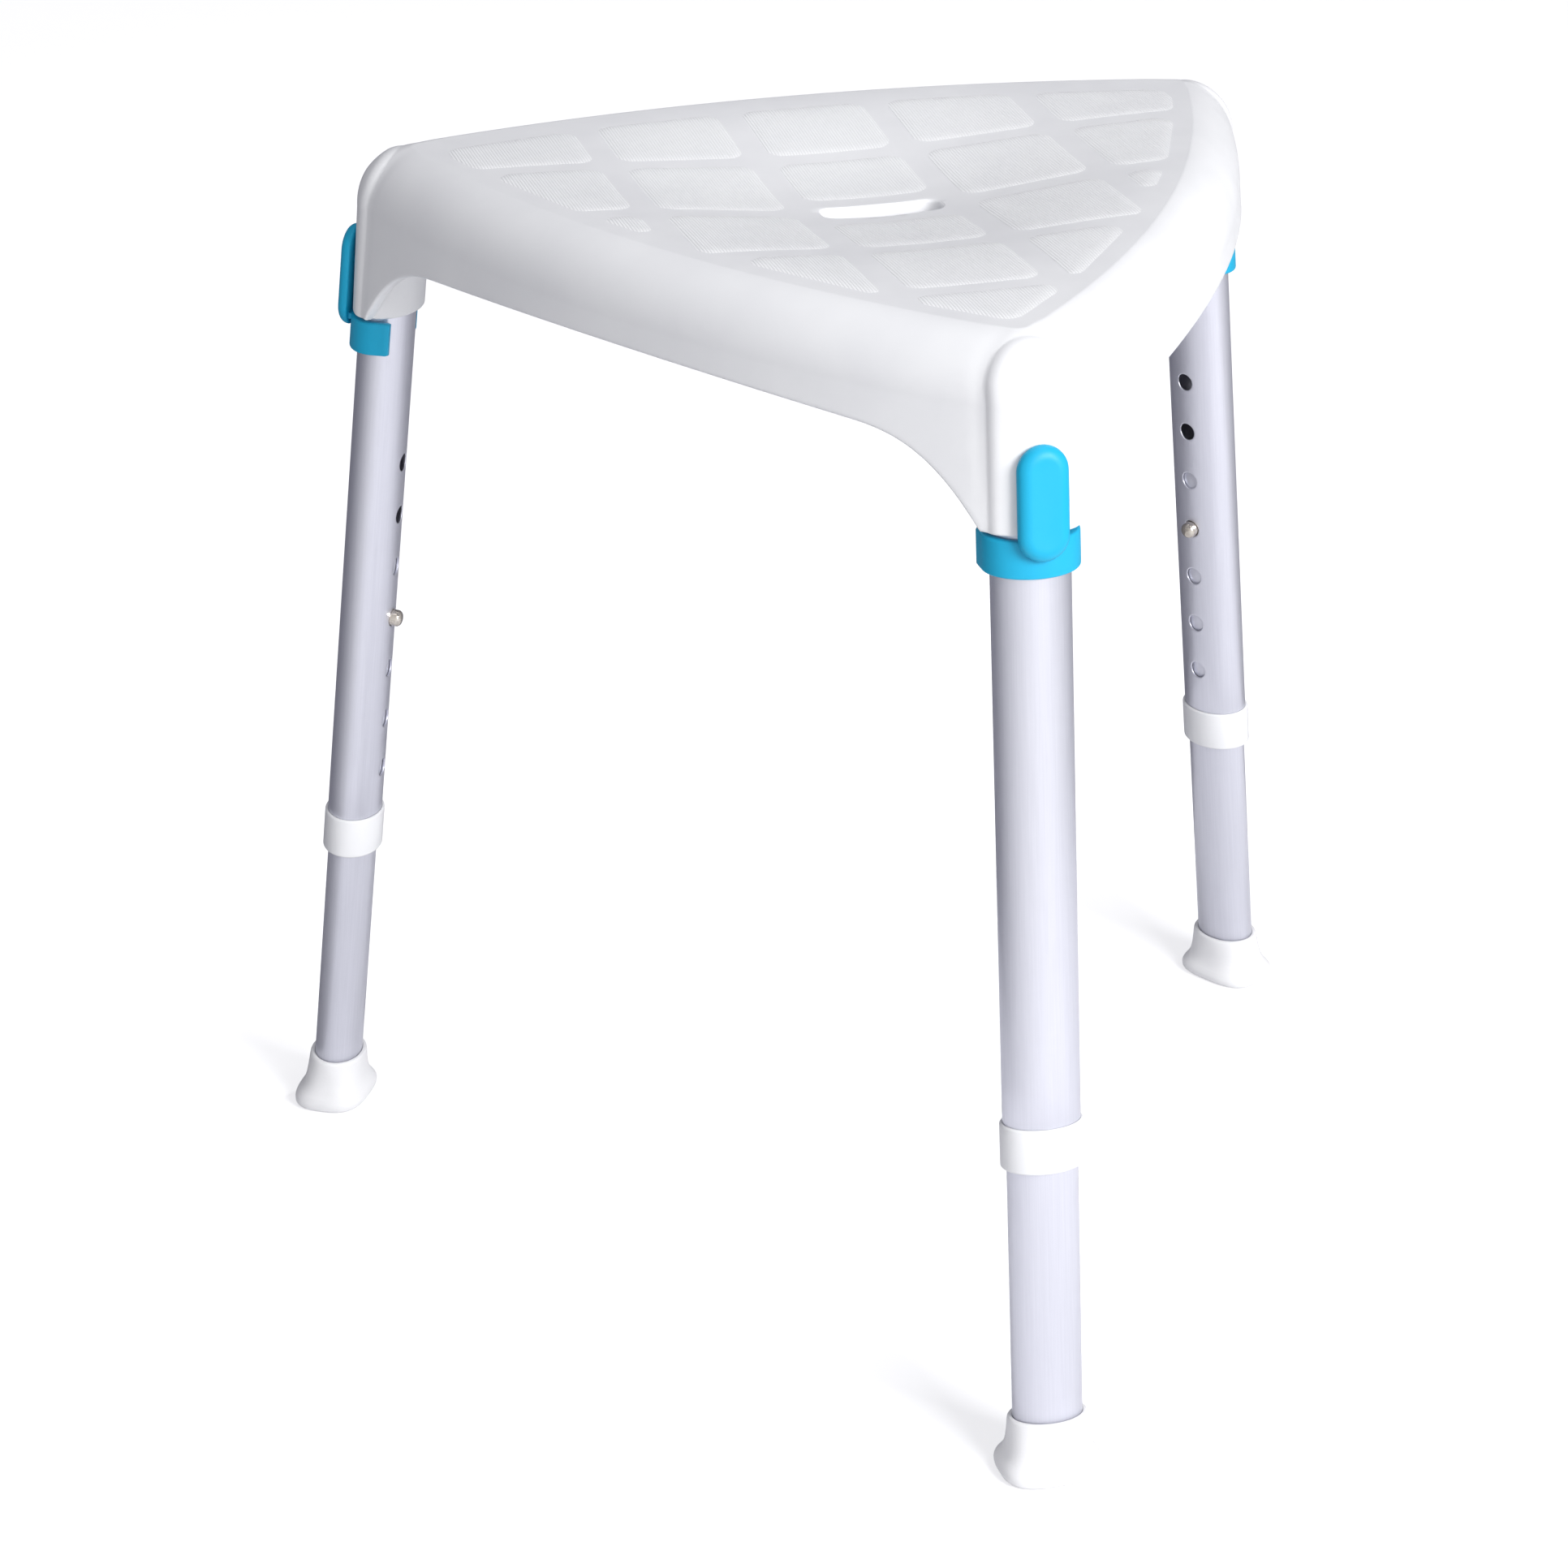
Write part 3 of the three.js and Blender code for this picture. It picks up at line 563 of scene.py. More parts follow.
def top_height(points):
    """Height of the dished top, which is deepest where it is far from all three sides."""
    reach = SIDE_RADIUS - CREASE_INSET
    share = 1.0
    for x, y in SIDE_CENTRES:
        away = np.hypot(points[:, 0] - x, points[:, 1] - y)
        share = share * np.clip((reach - away) / (reach - SIDE_CENTRE), 0, None)
    return CREASE_HEIGHT - DISH_DEPTH * share ** DISH_POWER


def dish_rings(rim, drop, shares):
    """Rings between the rim and the slot, `drop` below the top surface."""
    slot = slot_ring(rim)
    rings = []
    for share in shares:
        ring = rim * (1 - share) + slot * share
        ring[:, 2] = top_height(ring) - drop
        rings.append(ring)
    return rings


def slot_wall(rim):
    """Rings down the drain slot: its rounded edge, its wall, and the bead round its lower end."""
    slot = slot_ring(rim)
    top = top_height(slot)
    away = slot[:, :2] - np.array([0, SLOT_Y])
    away /= np.linalg.norm(away, axis=1)[:, None]
    steps = (*quarter(SLOT_EDGE, SLOT_EDGE_STEPS), *SLOT_WALL)
    return [np.column_stack([slot[:, :2] + away * out, top - drop]) for out, drop in steps]


def roll_rings(inset, steps):
    """From the wall's top round to the crease."""
    rings = []
    radius = ROLL_RADIUS - inset
    for i in range(1, steps + 1):
        angle = ROLL_END * i / steps
        level = inset + wall_inset(WALL_TOP) + radius * (1 - cos(angle))
        rings.append((angle, outline(level, WALL_TOP + radius * sin(angle))))
    return rings


def outer_rings(bottom):
    """The outside of the skirt and roll-over, with the bosses raised on the corners."""
    rings = []
    for inward, up in quarter(LIP):
        height = bottom + up
        rings.append((0.0, outline(inward + wall_inset(height), height)))
    for i in range(1, WALL_STEPS + 1):
        height = bottom + LIP + (WALL_TOP - bottom - LIP) * i / WALL_STEPS
        rings.append((0.0, outline(wall_inset(height), height)))
    rings += roll_rings(0, ROLL_STEPS)
    raised = []
    for angle, ring in rings:
        side, up = in_leg(ring)
        normal = np.column_stack([OUTWARD * cos(angle), np.full(len(ring), sin(angle))])
        raised.append(ring + normal * boss_height(side, up)[:, None])
    return raised


def inner_rings(bottom):
    """The inside, from the crease's underside down to the skirt's bottom edge."""
    rings = [ring for _, ring in roll_rings(SHELL, INNER_ROLL_STEPS)][::-1]
    side = np.abs(in_leg(outline(0, 0))[0])
    thicker = ARCH_LIP * np.interp(side, ARCH_LIP_START, (0, 1)) * np.interp(side, ARCH_LIP_END, (1, 0))
    for i in range(INNER_WALL_STEPS + 1):
        share = i / INNER_WALL_STEPS
        height = WALL_TOP + (bottom + LIP - WALL_TOP) * share
        rings.append(outline(SHELL + thicker * share ** ARCH_LIP_POWER + wall_inset(height), height))
    for inward, up in quarter(LIP)[::-1][1:-1]:
        height = bottom + up
        rings.append(outline(SHELL + thicker - inward + wall_inset(height), height))
    return rings


def seat_shell():
    """One closed surface: skirt, roll-over, dish, slot, underside and inside of the skirt."""
    bottom = skirt_bottom()
    outside = outer_rings(bottom)
    rim = outside[-1]
    dish = dish_rings(rim, 0, TOP_SHARES)
    inside = inner_rings(bottom)
    under = dish_rings(inside[0], SHELL, UNDER_SHARES)
    return Shape().add(*skin(outside + dish + slot_wall(rim) + under + inside, closed=True))


# ---- Pads ----

def clipped(polygon, centre, radius):
    """The part of a convex polygon inside a circle, with a straight cut between the crossings."""
    result = []
    for a, b in zip(polygon, polygon[1:] + polygon[:1]):
        a, b = np.asarray(a, float), np.asarray(b, float)
        if np.hypot(*(a - centre)) <= radius:
            result.append(tuple(a))
        step, start = b - a, a - centre
        squares = (step @ step, 2 * step @ start, start @ start - radius ** 2)
        under_root = squares[1] ** 2 - 4 * squares[0] * squares[2]
        if under_root <= 0:
            continue
        for sign in (-1, 1):
            t = (-squares[1] + sign * sqrt(under_root)) / (2 * squares[0])
            if 0 < t < 1:
                result.append(tuple(a + t * step))
    return result


def area(polygon):
    p = np.array(polygon)
    q = np.roll(p, -1, axis=0)
    return 0.5 * float(np.sum(p[:, 0] * q[:, 1] - q[:, 0] * p[:, 1]))


def without_short_edges(polygon):
    kept = []
    for point in polygon:
        if not kept or dist(point, kept[-1]) > PAD_LEAST_EDGE:
            kept.append(point)
    if dist(kept[0], kept[-1]) < PAD_LEAST_EDGE:
        kept.pop()
    return kept


def corner_arc(before, here, after):
    """Points of the arc that rounds a corner between its neighbours."""
    back, on = before - here, after - here
    shortest = min(np.linalg.norm(back), np.linalg.norm(on))
    back, on = back / np.linalg.norm(back), on / np.linalg.norm(on)
    half_angle = acos(np.clip(back @ on, -1, 1)) / 2
    tangent = min(PAD_CORNER / tan(half_angle), PAD_CORNER_SHARE * shortest)
    radius = tangent * tan(half_angle)
    middle = here + (back + on) / np.linalg.norm(back + on) * radius / sin(half_angle)
    start, end = here + back * tangent - middle, here + on * tangent - middle
    first = atan2(start[1], start[0])
    turn = (atan2(end[1], end[0]) - first) % (2 * pi)
    angles = first + turn * np.arange(PAD_CORNER_STEPS + 1) / PAD_CORNER_STEPS
    return middle + radius * np.stack([np.cos(angles), np.sin(angles)], axis=1)


def rounded(polygon):
    """Convex polygon with its corners rounded, as evenly spaced points."""
    corners = np.array(polygon, float)
    arcs = map(corner_arc, np.roll(corners, 1, axis=0), corners, np.roll(corners, -1, axis=0))
    loop = np.vstack(list(arcs))
    loop = np.vstack([loop, loop[:1]])
    length = np.concatenate([[0], np.cumsum(np.linalg.norm(np.diff(loop, axis=0), axis=1))])
    steps = max(PAD_LEAST_POINTS, int(length[-1] / PAD_SPACING))
    at = np.linspace(0, length[-1], steps, endpoint=False)
    return np.stack([np.interp(at, length, loop[:, 0]), np.interp(at, length, loop[:, 1])], axis=1)


def pad_outlines():
    """The grid cells, cut off by the seat's rim and kept clear of the slot."""
    result = []
    for column, (left, right) in enumerate(PAD_COLUMNS):
        for row, (low, high) in enumerate(PAD_ROWS):
            if column == MIDDLE_COLUMN and row == ROW_BEHIND_SLOT:
                low = SLOT_MARGINS[0]
            if column == MIDDLE_COLUMN and row == ROW_BEFORE_SLOT:
                high = SLOT_MARGINS[1]
            polygon = [(left, low), (right, low), (right, high), (left, high)]
            for inset, centre in zip((BACK_INSET, PAD_INSET, PAD_INSET), SIDE_CENTRES):
                if polygon:
                    polygon = clipped(polygon, np.array(centre), SIDE_RADIUS - FULL_ROLL_INSET - inset)
            if len(polygon) < 3 or area(polygon) < PAD_LEAST_AREA:
                continue
            polygon = without_short_edges(polygon)
            if len(polygon) >= 3:
                result.append(rounded(polygon))
    return result


def edge_distance(points, loop):
    """Distance from each point to the nearest part of a closed loop."""
    a, b = loop, np.roll(loop, -1, axis=0)
    step = b - a
    t = np.einsum("pkd,kd->pk", points[:, None] - a[None], step) / np.sum(step ** 2, axis=1)
    near = a[None] + np.clip(t, 0, 1)[..., None] * step[None]
    return np.min(np.linalg.norm(points[:, None] - near, axis=2), axis=1)


def pad(loop):
    """Pad that swells out of the dish inside its outline."""
    centre = loop.mean(axis=0)
    radius = float(np.linalg.norm(loop - centre, axis=1).mean())
    rings = [np.column_stack([loop, top_height(loop) - PAD_FOOT])]
    for inset in PAD_RINGS:
        share = 1 - inset / radius
        if share < PAD_LEAST_SHARE:
            break
        flat = centre + (loop - centre) * share
        inside = np.clip(edge_distance(flat, loop) / PAD_EDGE, 0, 1)
        swell = PAD_HEIGHT * (1 - (1 - inside) ** PAD_SWELL)
        rings.append(np.column_stack([flat, top_height(flat) + swell]))
    return skin(rings, cap_end=True)


# ---- Sockets and ribs under the seat ----

def socket_ring(half_width, front, height, back=SOCKET_HALF[1]):
    """Two half ellipses: one towards the seat's corner, one towards its middle."""
    ring = ellipse((half_width, back), height)
    outer = ring[:, 1] < 0
    ring[outer, 1] *= front / back
    return ring


def socket_column():
    """Column that holds the top of a leg, with its bore."""
    bore = grown(UPPER_HALF, GAP)
    low = SOCKET_BOTTOM + SOCKET_LIFT
    rings = [ellipse(bore, BORE_TOP)]
    rings += [ellipse(grown(bore, growth), low + up) for growth, up in BORE_EDGE]
    for inward, up in quarter(SOCKET_EDGE):
        back = SOCKET_HALF[1] - inward
        rings.append(socket_ring(SOCKET_HALF[0] - inward, SOCKET_FRONT - inward, low + up, back))
    rings += [socket_ring(half_width, front, height) for height, half_width, front in SOCKET_RINGS]
    points, faces = skin(rings, cap_start=True, cap_end=True)
    return levelled(points), faces


def rib(path, closed=False):
    """Rib along a path of seat points, from its rounded bottom up into the shell."""
    top = top_height(path) - RIB_SINK
    half = RIB_THICKNESS / 2
    rings = []
    for spot, normal, high in zip(path, normals(path, closed), top):
        rings.append([(*(spot + normal * half * share), high if up is None else RIB_BOTTOM + up)
                      for share, up in RIB_SECTION])
    return skin(rings, closed=closed)


def seat_ribs():
    """A ring in the middle, a spoke to each socket, and straight ribs from socket to socket."""
    t = np.arange(RIB_RING_STEPS) * 2 * pi / RIB_RING_STEPS
    middle = RIB_RING_RADIUS - RIB_THICKNESS / 2
    ribs = [rib(np.stack([middle * np.cos(t), middle * np.sin(t)], axis=1), closed=True)]
    to_side = CORNER_DISTANCE * cos(LEG_STEP / 2)
    reach = to_side * tan(LEG_STEP / 2) - SOCKET_HALF[0]
    straight = np.linspace((reach, to_side), (-reach, to_side), STRAIGHT_STEPS)
    spoke = np.linspace((0, -middle), (0, -CORNER_DISTANCE), SPOKE_STEPS)
    for k in range(len(LEG_NAMES)):
        turn = k * LEG_STEP
        spin = np.array([[cos(turn), -sin(turn)], [sin(turn), cos(turn)]])
        ribs += [rib(straight @ spin.T), rib(spoke @ spin.T)]
    return ribs


def cut_hole(piece, index):
    """Drills the clip's peg hole through the front of a socket."""
    points, faces = lathe([(HOLE_RADIUS, -CUTTER_END), (HOLE_RADIUS, -PEG_END)], PEG_HEIGHT)
    cutter = mesh_object("cutter", (placed(points, leg_matrix(index)) * MM).tolist(), faces)
    cut = piece.modifiers.new("peg hole", "BOOLEAN")
    cut.operation = "DIFFERENCE"
    cut.object = cutter
    cut.solver = "EXACT"
    bpy.context.view_layer.update()
    result = bpy.data.meshes.new_from_object(piece.evaluated_get(bpy.context.evaluated_depsgraph_get()))
    piece.modifiers.clear()
    piece.data = result
    bpy.data.objects.remove(cutter)


# ---- Tubes with holes ----

def arc_angles(half):
    """Angles from +y of a tube's columns: even, but for a patch of small cells on each flat side."""
    t = np.linspace(0, 2 * pi, ARC_SAMPLES)
    steps = np.linalg.norm(np.diff(ellipse(half, 0, t), axis=0), axis=1)
    length = np.concatenate([[0], np.cumsum(steps)])
    total = length[-1]
    block = np.linspace(-HOLE_BLOCK, HOLE_BLOCK, BLOCK_CELLS + 1)
    side = np.linspace(HOLE_BLOCK, total / 2 - HOLE_BLOCK, SIDE_CELLS + 1)[1:-1]
    at = np.concatenate([block, side, block + total / 2, side + total / 2])
    return np.interp(at % total, length, t)


def patch_loop(row, column):
    """Grid places round the patch of cells at a hole, starting at one of its lower corners."""
    n = BLOCK_CELLS
    loop = [(row, column + c) for c in range(n)] + [(row + r, column + n) for r in range(n)]
    return loop + [(row + n, column + n - c) for c in range(n)] + [(row + n - r, column) for r in range(n)]


def hole_rings(half, sign, height, spots, inside):
    """Rings from the points round a hole's patch in to its edge, which is deburred on the outside."""
    angle = np.arctan2(spots[:, 2] - height, -sign * spots[:, 0])
    widths = [(HOLE_RADIUS + HOLE_MARGIN, 0.0), (HOLE_RADIUS + HOLE_EDGE, 0.0)]
    if not inside:
        widths += [(HOLE_RADIUS + HOLE_EDGE * RIM_SHARE, HOLE_EDGE * RIM_SHARE), (HOLE_RADIUS, HOLE_EDGE)]
    rings = []
    for radius, depth in widths:
        x = -sign * radius * np.cos(angle)
        y = sign * (half[1] * np.sqrt(1 - (x / half[0]) ** 2) - depth)
        rings.append(np.column_stack([x, y, height + radius * np.sin(angle)]))
    return rings


def tube_surface(shape, half, growths, heights, holes, inside):
    """One surface of a tube, a grid with a patch at each hole. Returns the edges of holes and ends."""
    angles = arc_angles(half)
    columns = len(angles)
    grid = np.array([ellipse(grown(half, g), z, angles) for g, z in zip(growths, heights)])
    points, faces, skipped, edges = grid.reshape(-1, 3), [], set(), []
    start = len(shape.points)
    for sign, height in holes:
        row = int(np.argmin(np.abs(np.array(heights) - (height - HOLE_BLOCK))))
        column = 0 if sign > 0 else BLOCK_CELLS + SIDE_CELLS
        skipped |= {(row + r, column + c) for r in range(BLOCK_CELLS) for c in range(BLOCK_CELLS)}
        loop = patch_loop(row, column)
        spots = np.array([grid[place] for place in loop])
        ids = [r * columns + c for r, c in loop]
        for ring in hole_rings(half, sign, height, spots, inside):
            new = list(range(len(points), len(points) + len(ring)))
            points = np.vstack([points, ring])
            faces += band(ids, new)
            ids = new
        edges.append([start + i for i in ids])
    cells = enumerate(ring_faces(len(heights), columns))
    faces += [face for k, face in cells if divmod(k, columns) not in skipped]
    shape.add(points, flipped(faces) if inside else faces)
    last = start + (len(heights) - 1) * columns
    return edges, [list(range(first, first + columns)) for first in (start, last)]


def tube(half, wall, span, holes):
    """Elliptical tube with rounded ends; each hole is its side (+1 or -1 in y) and its height."""
    low, high = span
    rim = wall * RIM_SHARE
    block = [h + HOLE_BLOCK * (2 * k / BLOCK_CELLS - 1) for _, h in holes for k in range(BLOCK_CELLS + 1)]
    heights = sorted({round(z, 4) for z in [low, low + rim, *block, high - rim, high]})
    growths = np.array([-rim if z in (low, high) else 0.0 for z in heights])
    shape = Shape()
    outer_edges, outer_ends = tube_surface(shape, half, growths, heights, holes, False)
    inner_edges, inner_ends = tube_surface(shape, grown(half, -wall), -growths, heights, holes, True)
    faces = []
    for outer, inner in zip(outer_edges, inner_edges):
        faces += band(outer, inner)
    faces += flipped(band(outer_ends[0], inner_ends[0])) + band(outer_ends[1], inner_ends[1])
    return shape.add([], faces, joined=True)


# ---- Other leg pieces ----

def collar():
    """Ring round the lower end of the upper tube, with a ledge that closes in on the lower tube."""
    low, high = COLLAR_SPAN
    ledge = UPPER_SPAN[0] - GAP
    edge = quarter(COLLAR_EDGE)
    rings = [ellipse(grown(COLLAR_HALF, -inward), low + up) for inward, up in edge]
    rings += [ellipse(grown(COLLAR_HALF, -inward), high - up) for inward, up in edge[::-1]]
    rings += [ellipse(grown(UPPER_HALF, GAP + growth), high - depth) for growth, depth in COLLAR_LIP]
    rings.append(ellipse(grown(UPPER_HALF, GAP), ledge + LEDGE))
    for growth, height in ((0, ledge), (0, low + COLLAR_FOOT), (COLLAR_FOOT, low)):
        rings.append(ellipse(grown(LOWER_HALF, GAP + growth), height))
    return Shape().add(*skin(rings, closed=True))


def snap_button():
    """Flange, shank and domed head with a chamfered edge."""
    back, face = BUTTON_FLANGE
    wide, edge = FLANGE_RADIUS, FLANGE_EDGE
    profile = [(BUTTON_BACK_RADIUS, back), (wide - edge, back), (wide, back + edge)]
    profile += [(wide, face - edge), (wide - edge, face), (BUTTON_RADIUS, face)]
    profile += [(BUTTON_RADIUS - inset, BUTTON_TIP - depth) for inset, depth in BUTTON_HEAD]
    return Shape().add(*lathe(profile, BUTTON_HEIGHT))


def button_spring():
    """V-shaped strip: one arm along the outer wall, the other flat behind the button."""
    path = np.array(SPRING_PATH)
    wide, thick = SPRING_WIDTH / 2, SPRING_THICKNESS / 2
    rings = []
    for (y, z), (ny, nz) in zip(path, normals(path)):
        corners = [(-wide, -thick), (wide, -thick), (wide, thick), (-wide, thick)]
        rings.append([(x, y + ny * o, z + nz * o) for x, o in corners])
    return Shape().add(*skin(rings, cap_start=True, cap_end=True))


def foot():
    """Ferrule: a rounded-oblong sole that flares up into a neck, with the socket for the tube."""
    sideways, along = -np.sin(ROUND_ANGLES), np.cos(ROUND_ANGLES)
    rings = []
    for rise, flare in FOOT_PROFILE:
        power = 2 / (2 + np.interp(rise, *FOOT_SQUARENESS))
        half = [neck + (sole - neck) * flare for neck, sole in zip(NECK_HALF, SOLE_HALF)]
        x = np.sign(sideways) * np.abs(sideways) ** power * half[0]
        y = np.sign(along) * np.abs(along) ** power * half[1]
        tilt = SPLAY * rise
        up = FOOT_TOP * rise
        rings.append(np.column_stack([
            x, y * cos(tilt) + up * sin(SPLAY), up * cos(SPLAY) - y * sin(tilt)]))
    lean = Matrix.Rotation(-SPLAY, 4, "X")
    bore = grown(LOWER_HALF, FOOT_GRIP)
    for growth, depth in (*FOOT_MOUTH, (0, FOOT_TOP - FOOT_FLOOR)):
        rings.append(placed(ellipse(grown(bore, growth), FOOT_TOP - depth), lean))
    return Shape().add(*skin(rings, cap_start=True, cap_end=True))


def clip_path():
    """Middle of the band's wall: straight arms and half an ellipse."""
    a, b = CLIP_MIDDLE
    arm = [CLIP_ARM * k / CLIP_ARM_STEPS for k in range(1, CLIP_ARM_STEPS + 1)]
    path = [(-a, y) for y in arm[::-1]]
    path += [(-a * cos(t), -b * sin(t)) for t in np.linspace(0, pi, CLIP_BEND_STEPS + 1)]
    path += [(a, y) for y in arm]
    return np.array(path)


def clip_section(half, half_height):
    """Section of the band, with a large rounding on the outer edges and a small one inside."""
    section = []
    for turn, side, level in ((-90, 1, -1), (0, 1, 1), (90, -1, 1), (180, -1, -1)):
        rounding = CLIP_EDGES[0] if side > 0 else CLIP_EDGES[1]
        middle = (side * (half - rounding), level * (half_height - rounding))
        for k in range(CLIP_EDGE_STEPS + 1):
            angle = radians(turn + 90 * k / CLIP_EDGE_STEPS)
            section.append((middle[0] + rounding * cos(angle), middle[1] + rounding * sin(angle)))
    return section


def clip_band():
    """Open band whose ends taper a little."""
    path = clip_path()
    low, high = CLIP_SPAN
    middle = (low + high) / 2
    section = clip_section(CLIP_THICKNESS / 2, (high - low) / 2)
    rings = []
    for i, (spot, outward) in enumerate(zip(path, -normals(path))):
        from_end = min(i, len(path) - 1 - i) * CLIP_ARM / CLIP_ARM_STEPS
        taper = CLIP_END_TAPER * max(0, 1 - from_end / CLIP_END_ROUNDING) ** 2
        rings.append([(*(spot + outward * o * (1 - taper)), middle + z * (1 - taper * CLIP_END_DROP))
                      for o, z in section])
    points, faces = skin(rings, cap_start=True, cap_end=True)
    return levelled(points), faces


def pill_ring(inset, y):
    """Ring of the tongue's outline, pulled in by an inset."""
    low, high = TONGUE_SPAN
    r = TONGUE_HALF - inset
    straight = high - low - 2 * TONGUE_HALF
    loop = []
    for turn, middle, side in ((0.0, high - TONGUE_HALF, -1), (pi, low + TONGUE_HALF, 1)):
        for a in np.linspace(turn, turn + pi, TONGUE_ARC_STEPS + 1):
            loop.append((cos(a) * r, -y, middle + sin(a) * r))
        for k in range(TONGUE_LINE_STEPS):
            loop.append((side * r, -y, middle + side * straight * (k + 0.5) / TONGUE_LINE_STEPS))
    return np.array(loop)


def tongue():
    """Thumb tongue: flat back, rounded face with a slight hollow."""
    back, face = TONGUE_FACES
    wide, deep = TONGUE_ROUNDING
    profile = [(inset, back + up) for inset, up in TONGUE_BACK]
    for k in range(TONGUE_EDGE_STEPS + 1):
        angle = pi / 2 * k / TONGUE_EDGE_STEPS
        profile.append((wide * (1 - cos(angle)), face - deep * (1 - sin(angle))))
    profile += [(inset, face - depth) for inset, depth in TONGUE_CROWN]
    return skin([pill_ring(inset, y)[::-1] for inset, y in profile], cap_start=True, cap_end=True)


def locking_clip():
    """Band, thumb tongue, the root that joins them, and the peg behind the tongue."""
    back = TONGUE_FACES[0]
    low, high = TONGUE_SPAN[0] + ROOT_RISE, CLIP_SPAN[1] - (back + ROOT_TOP) * tan(SPLAY)
    ring = [(-ROOT_HALF, low), (ROOT_HALF, low), (ROOT_HALF, high), (-ROOT_HALF, high)]
    root = [[(x, y, z) for x, z in ring] for y in (-back - ROOT_DEPTH[0], -back + ROOT_DEPTH[1])]
    peg = [(PEG_RADIUS - PEG_CHAMFER, -PEG_END), (PEG_RADIUS, -PEG_END - PEG_CHAMFER)]
    peg.append((PEG_RADIUS, -back - PEG_ROOT))
    shape = Shape().add(*clip_band()).add(*tongue())
    shape.add(*skin(root, cap_start=True, cap_end=True))
    return shape.add(*lathe(peg, PEG_HEIGHT))


# ---- Materials ----

def new_material(name):
    material = bpy.data.materials.new(name)
    material.use_nodes = True
    tree = material.node_tree
    return material, tree, tree.nodes["Principled BSDF"]


def fill(tree, node, inputs):
    """Sets a node's inputs: a socket is linked to, and anything else is a value."""
    for key, value in inputs.items():
        if isinstance(value, bpy.types.NodeSocket):
            tree.links.new(value, node.inputs[key])
        else:
            node.inputs[key].default_value = value
    return node


def new_node(tree, kind, inputs, **settings):
    node = tree.nodes.new("ShaderNode" + kind)
    for key, value in settings.items():
        setattr(node, key, value)
    return fill(tree, node, inputs)


def place_node(tree, leg=None):
    """Object coordinates, or the coordinates of a leg's own frame."""
    place = new_node(tree, "TexCoord", {}).outputs["Object"]
    if leg is None:
        return place
    matrix = leg_matrix(leg)
    inputs = {"Vector": place, "Location": matrix.to_translation() * MM, "Rotation": matrix.to_euler()}
    return new_node(tree, "Mapping", inputs, vector_type="TEXTURE").outputs["Vector"]


def noise(tree, place, scale, detail, stretch=(1, 1, 1)):
    """Noise with so many features to the metre, stretched along an axis by a smaller factor."""
    mapping = new_node(tree, "Mapping", {"Vector": place, "Scale": stretch})
    inputs = {"Vector": mapping.outputs["Vector"], "Scale": scale, "Detail": detail}
    return new_node(tree, "TexNoise", inputs).outputs["Fac"]


def spread(tree, value, low, high):
    """Maps a noise value's usual range to low..high."""
    inputs = {"Value": value, "From Min": NOISE_RANGE[0], "From Max": NOISE_RANGE[1]}
    inputs.update({"To Min": low, "To Max": high})
    return new_node(tree, "MapRange", inputs).outputs["Result"]


def mixed(tree, value, dark, light):
    """Colour between two tones."""
    inputs = {0: value, 6: (*dark, 1), 7: (*light, 1)}
    return new_node(tree, "Mix", inputs, data_type="RGBA").outputs[2]


def bumped(tree, height, distance, below=None):
    inputs = {"Height": height, "Distance": distance}
    if below is not None:
        inputs["Normal"] = below
    return new_node(tree, "Bump", inputs).outputs["Normal"]


def math_node(tree, operation, *values):
    return new_node(tree, "Math", dict(enumerate(values)), operation=operation).outputs[0]


def plastic(name, look, uneven):
    """Plastic with faint cloudiness and uneven gloss, to which its relief is added."""
    dark, light, roughness = look
    material, tree, shader = new_material(name)
    place = place_node(tree)
    cloud = spread(tree, noise(tree, place, CLOUD_SCALE, 4.0), 0, 1)
    gloss = noise(tree, place, GLOSS_SCALE, 3.0)
    gloss = spread(tree, gloss, roughness * (1 - uneven), roughness * (1 + uneven))
    tone = mixed(tree, cloud, dark, light)
    fill(tree, shader, {"Base Color": tone, "Roughness": gloss, "IOR": PLASTIC_IOR})
    return material, tree, shader, place


def moulded(name, look, grain=GRAIN_SCALE, depth=GRAIN_DEPTH, sheen=PLASTIC_SHEEN):
    """Moulded plastic with a fine spark-eroded grain."""
    material, tree, shader, place = plastic(name, look, MOULDED_UNEVEN)
    relief = bumped(tree, noise(tree, place, grain, 3.0), depth)
    fill(tree, shader, {"Normal": relief, "Specular IOR Level": sheen})
    return material


def knurled(name, look):
    """The pads: a close grid of tiny raised points, over the plastic's own grain."""
    material, tree, shader, place = plastic(name, look, KNURLED_UNEVEN)
    split = new_node(tree, "SeparateXYZ", {0: place})
    turns = 2 * pi / (KNURL_PITCH * MM)
    waves = []
    for axis, weight in enumerate(KNURL_WEIGHTS):
        wave = math_node(tree, "SINE", math_node(tree, "MULTIPLY", split.outputs[axis], turns))
        waves.append(math_node(tree, "MULTIPLY", wave, weight))
    grain = bumped(tree, noise(tree, place, GRAIN_SCALE, 3.0), GRAIN_DEPTH)
    fill(tree, shader, {"Normal": bumped(tree, math_node(tree, "ADD", *waves), KNURL_DEPTH, grain)})
    return material


def anodised(name, look, leg, metallic):
    """Extruded tube: fine lengthwise grain in colour, gloss and relief."""
    dark, light, roughness = look
    material, tree, shader = new_material(name)
    place = place_node(tree, leg)
    streaks = spread(tree, noise(tree, place, *STREAKS), 0, 1)
    gloss = spread(tree, noise(tree, place, *BROAD_STREAKS), roughness - 0.02, roughness + 0.02)
    relief = bumped(tree, noise(tree, place, *BLASTING), BLASTING_DEPTH)
    fill(tree, shader, {"Base Color": mixed(tree, streaks, dark, light), "Roughness": gloss,
                        "Normal": relief, "Metallic": metallic, "Anisotropic": TUBE_ANISOTROPY})
    return material


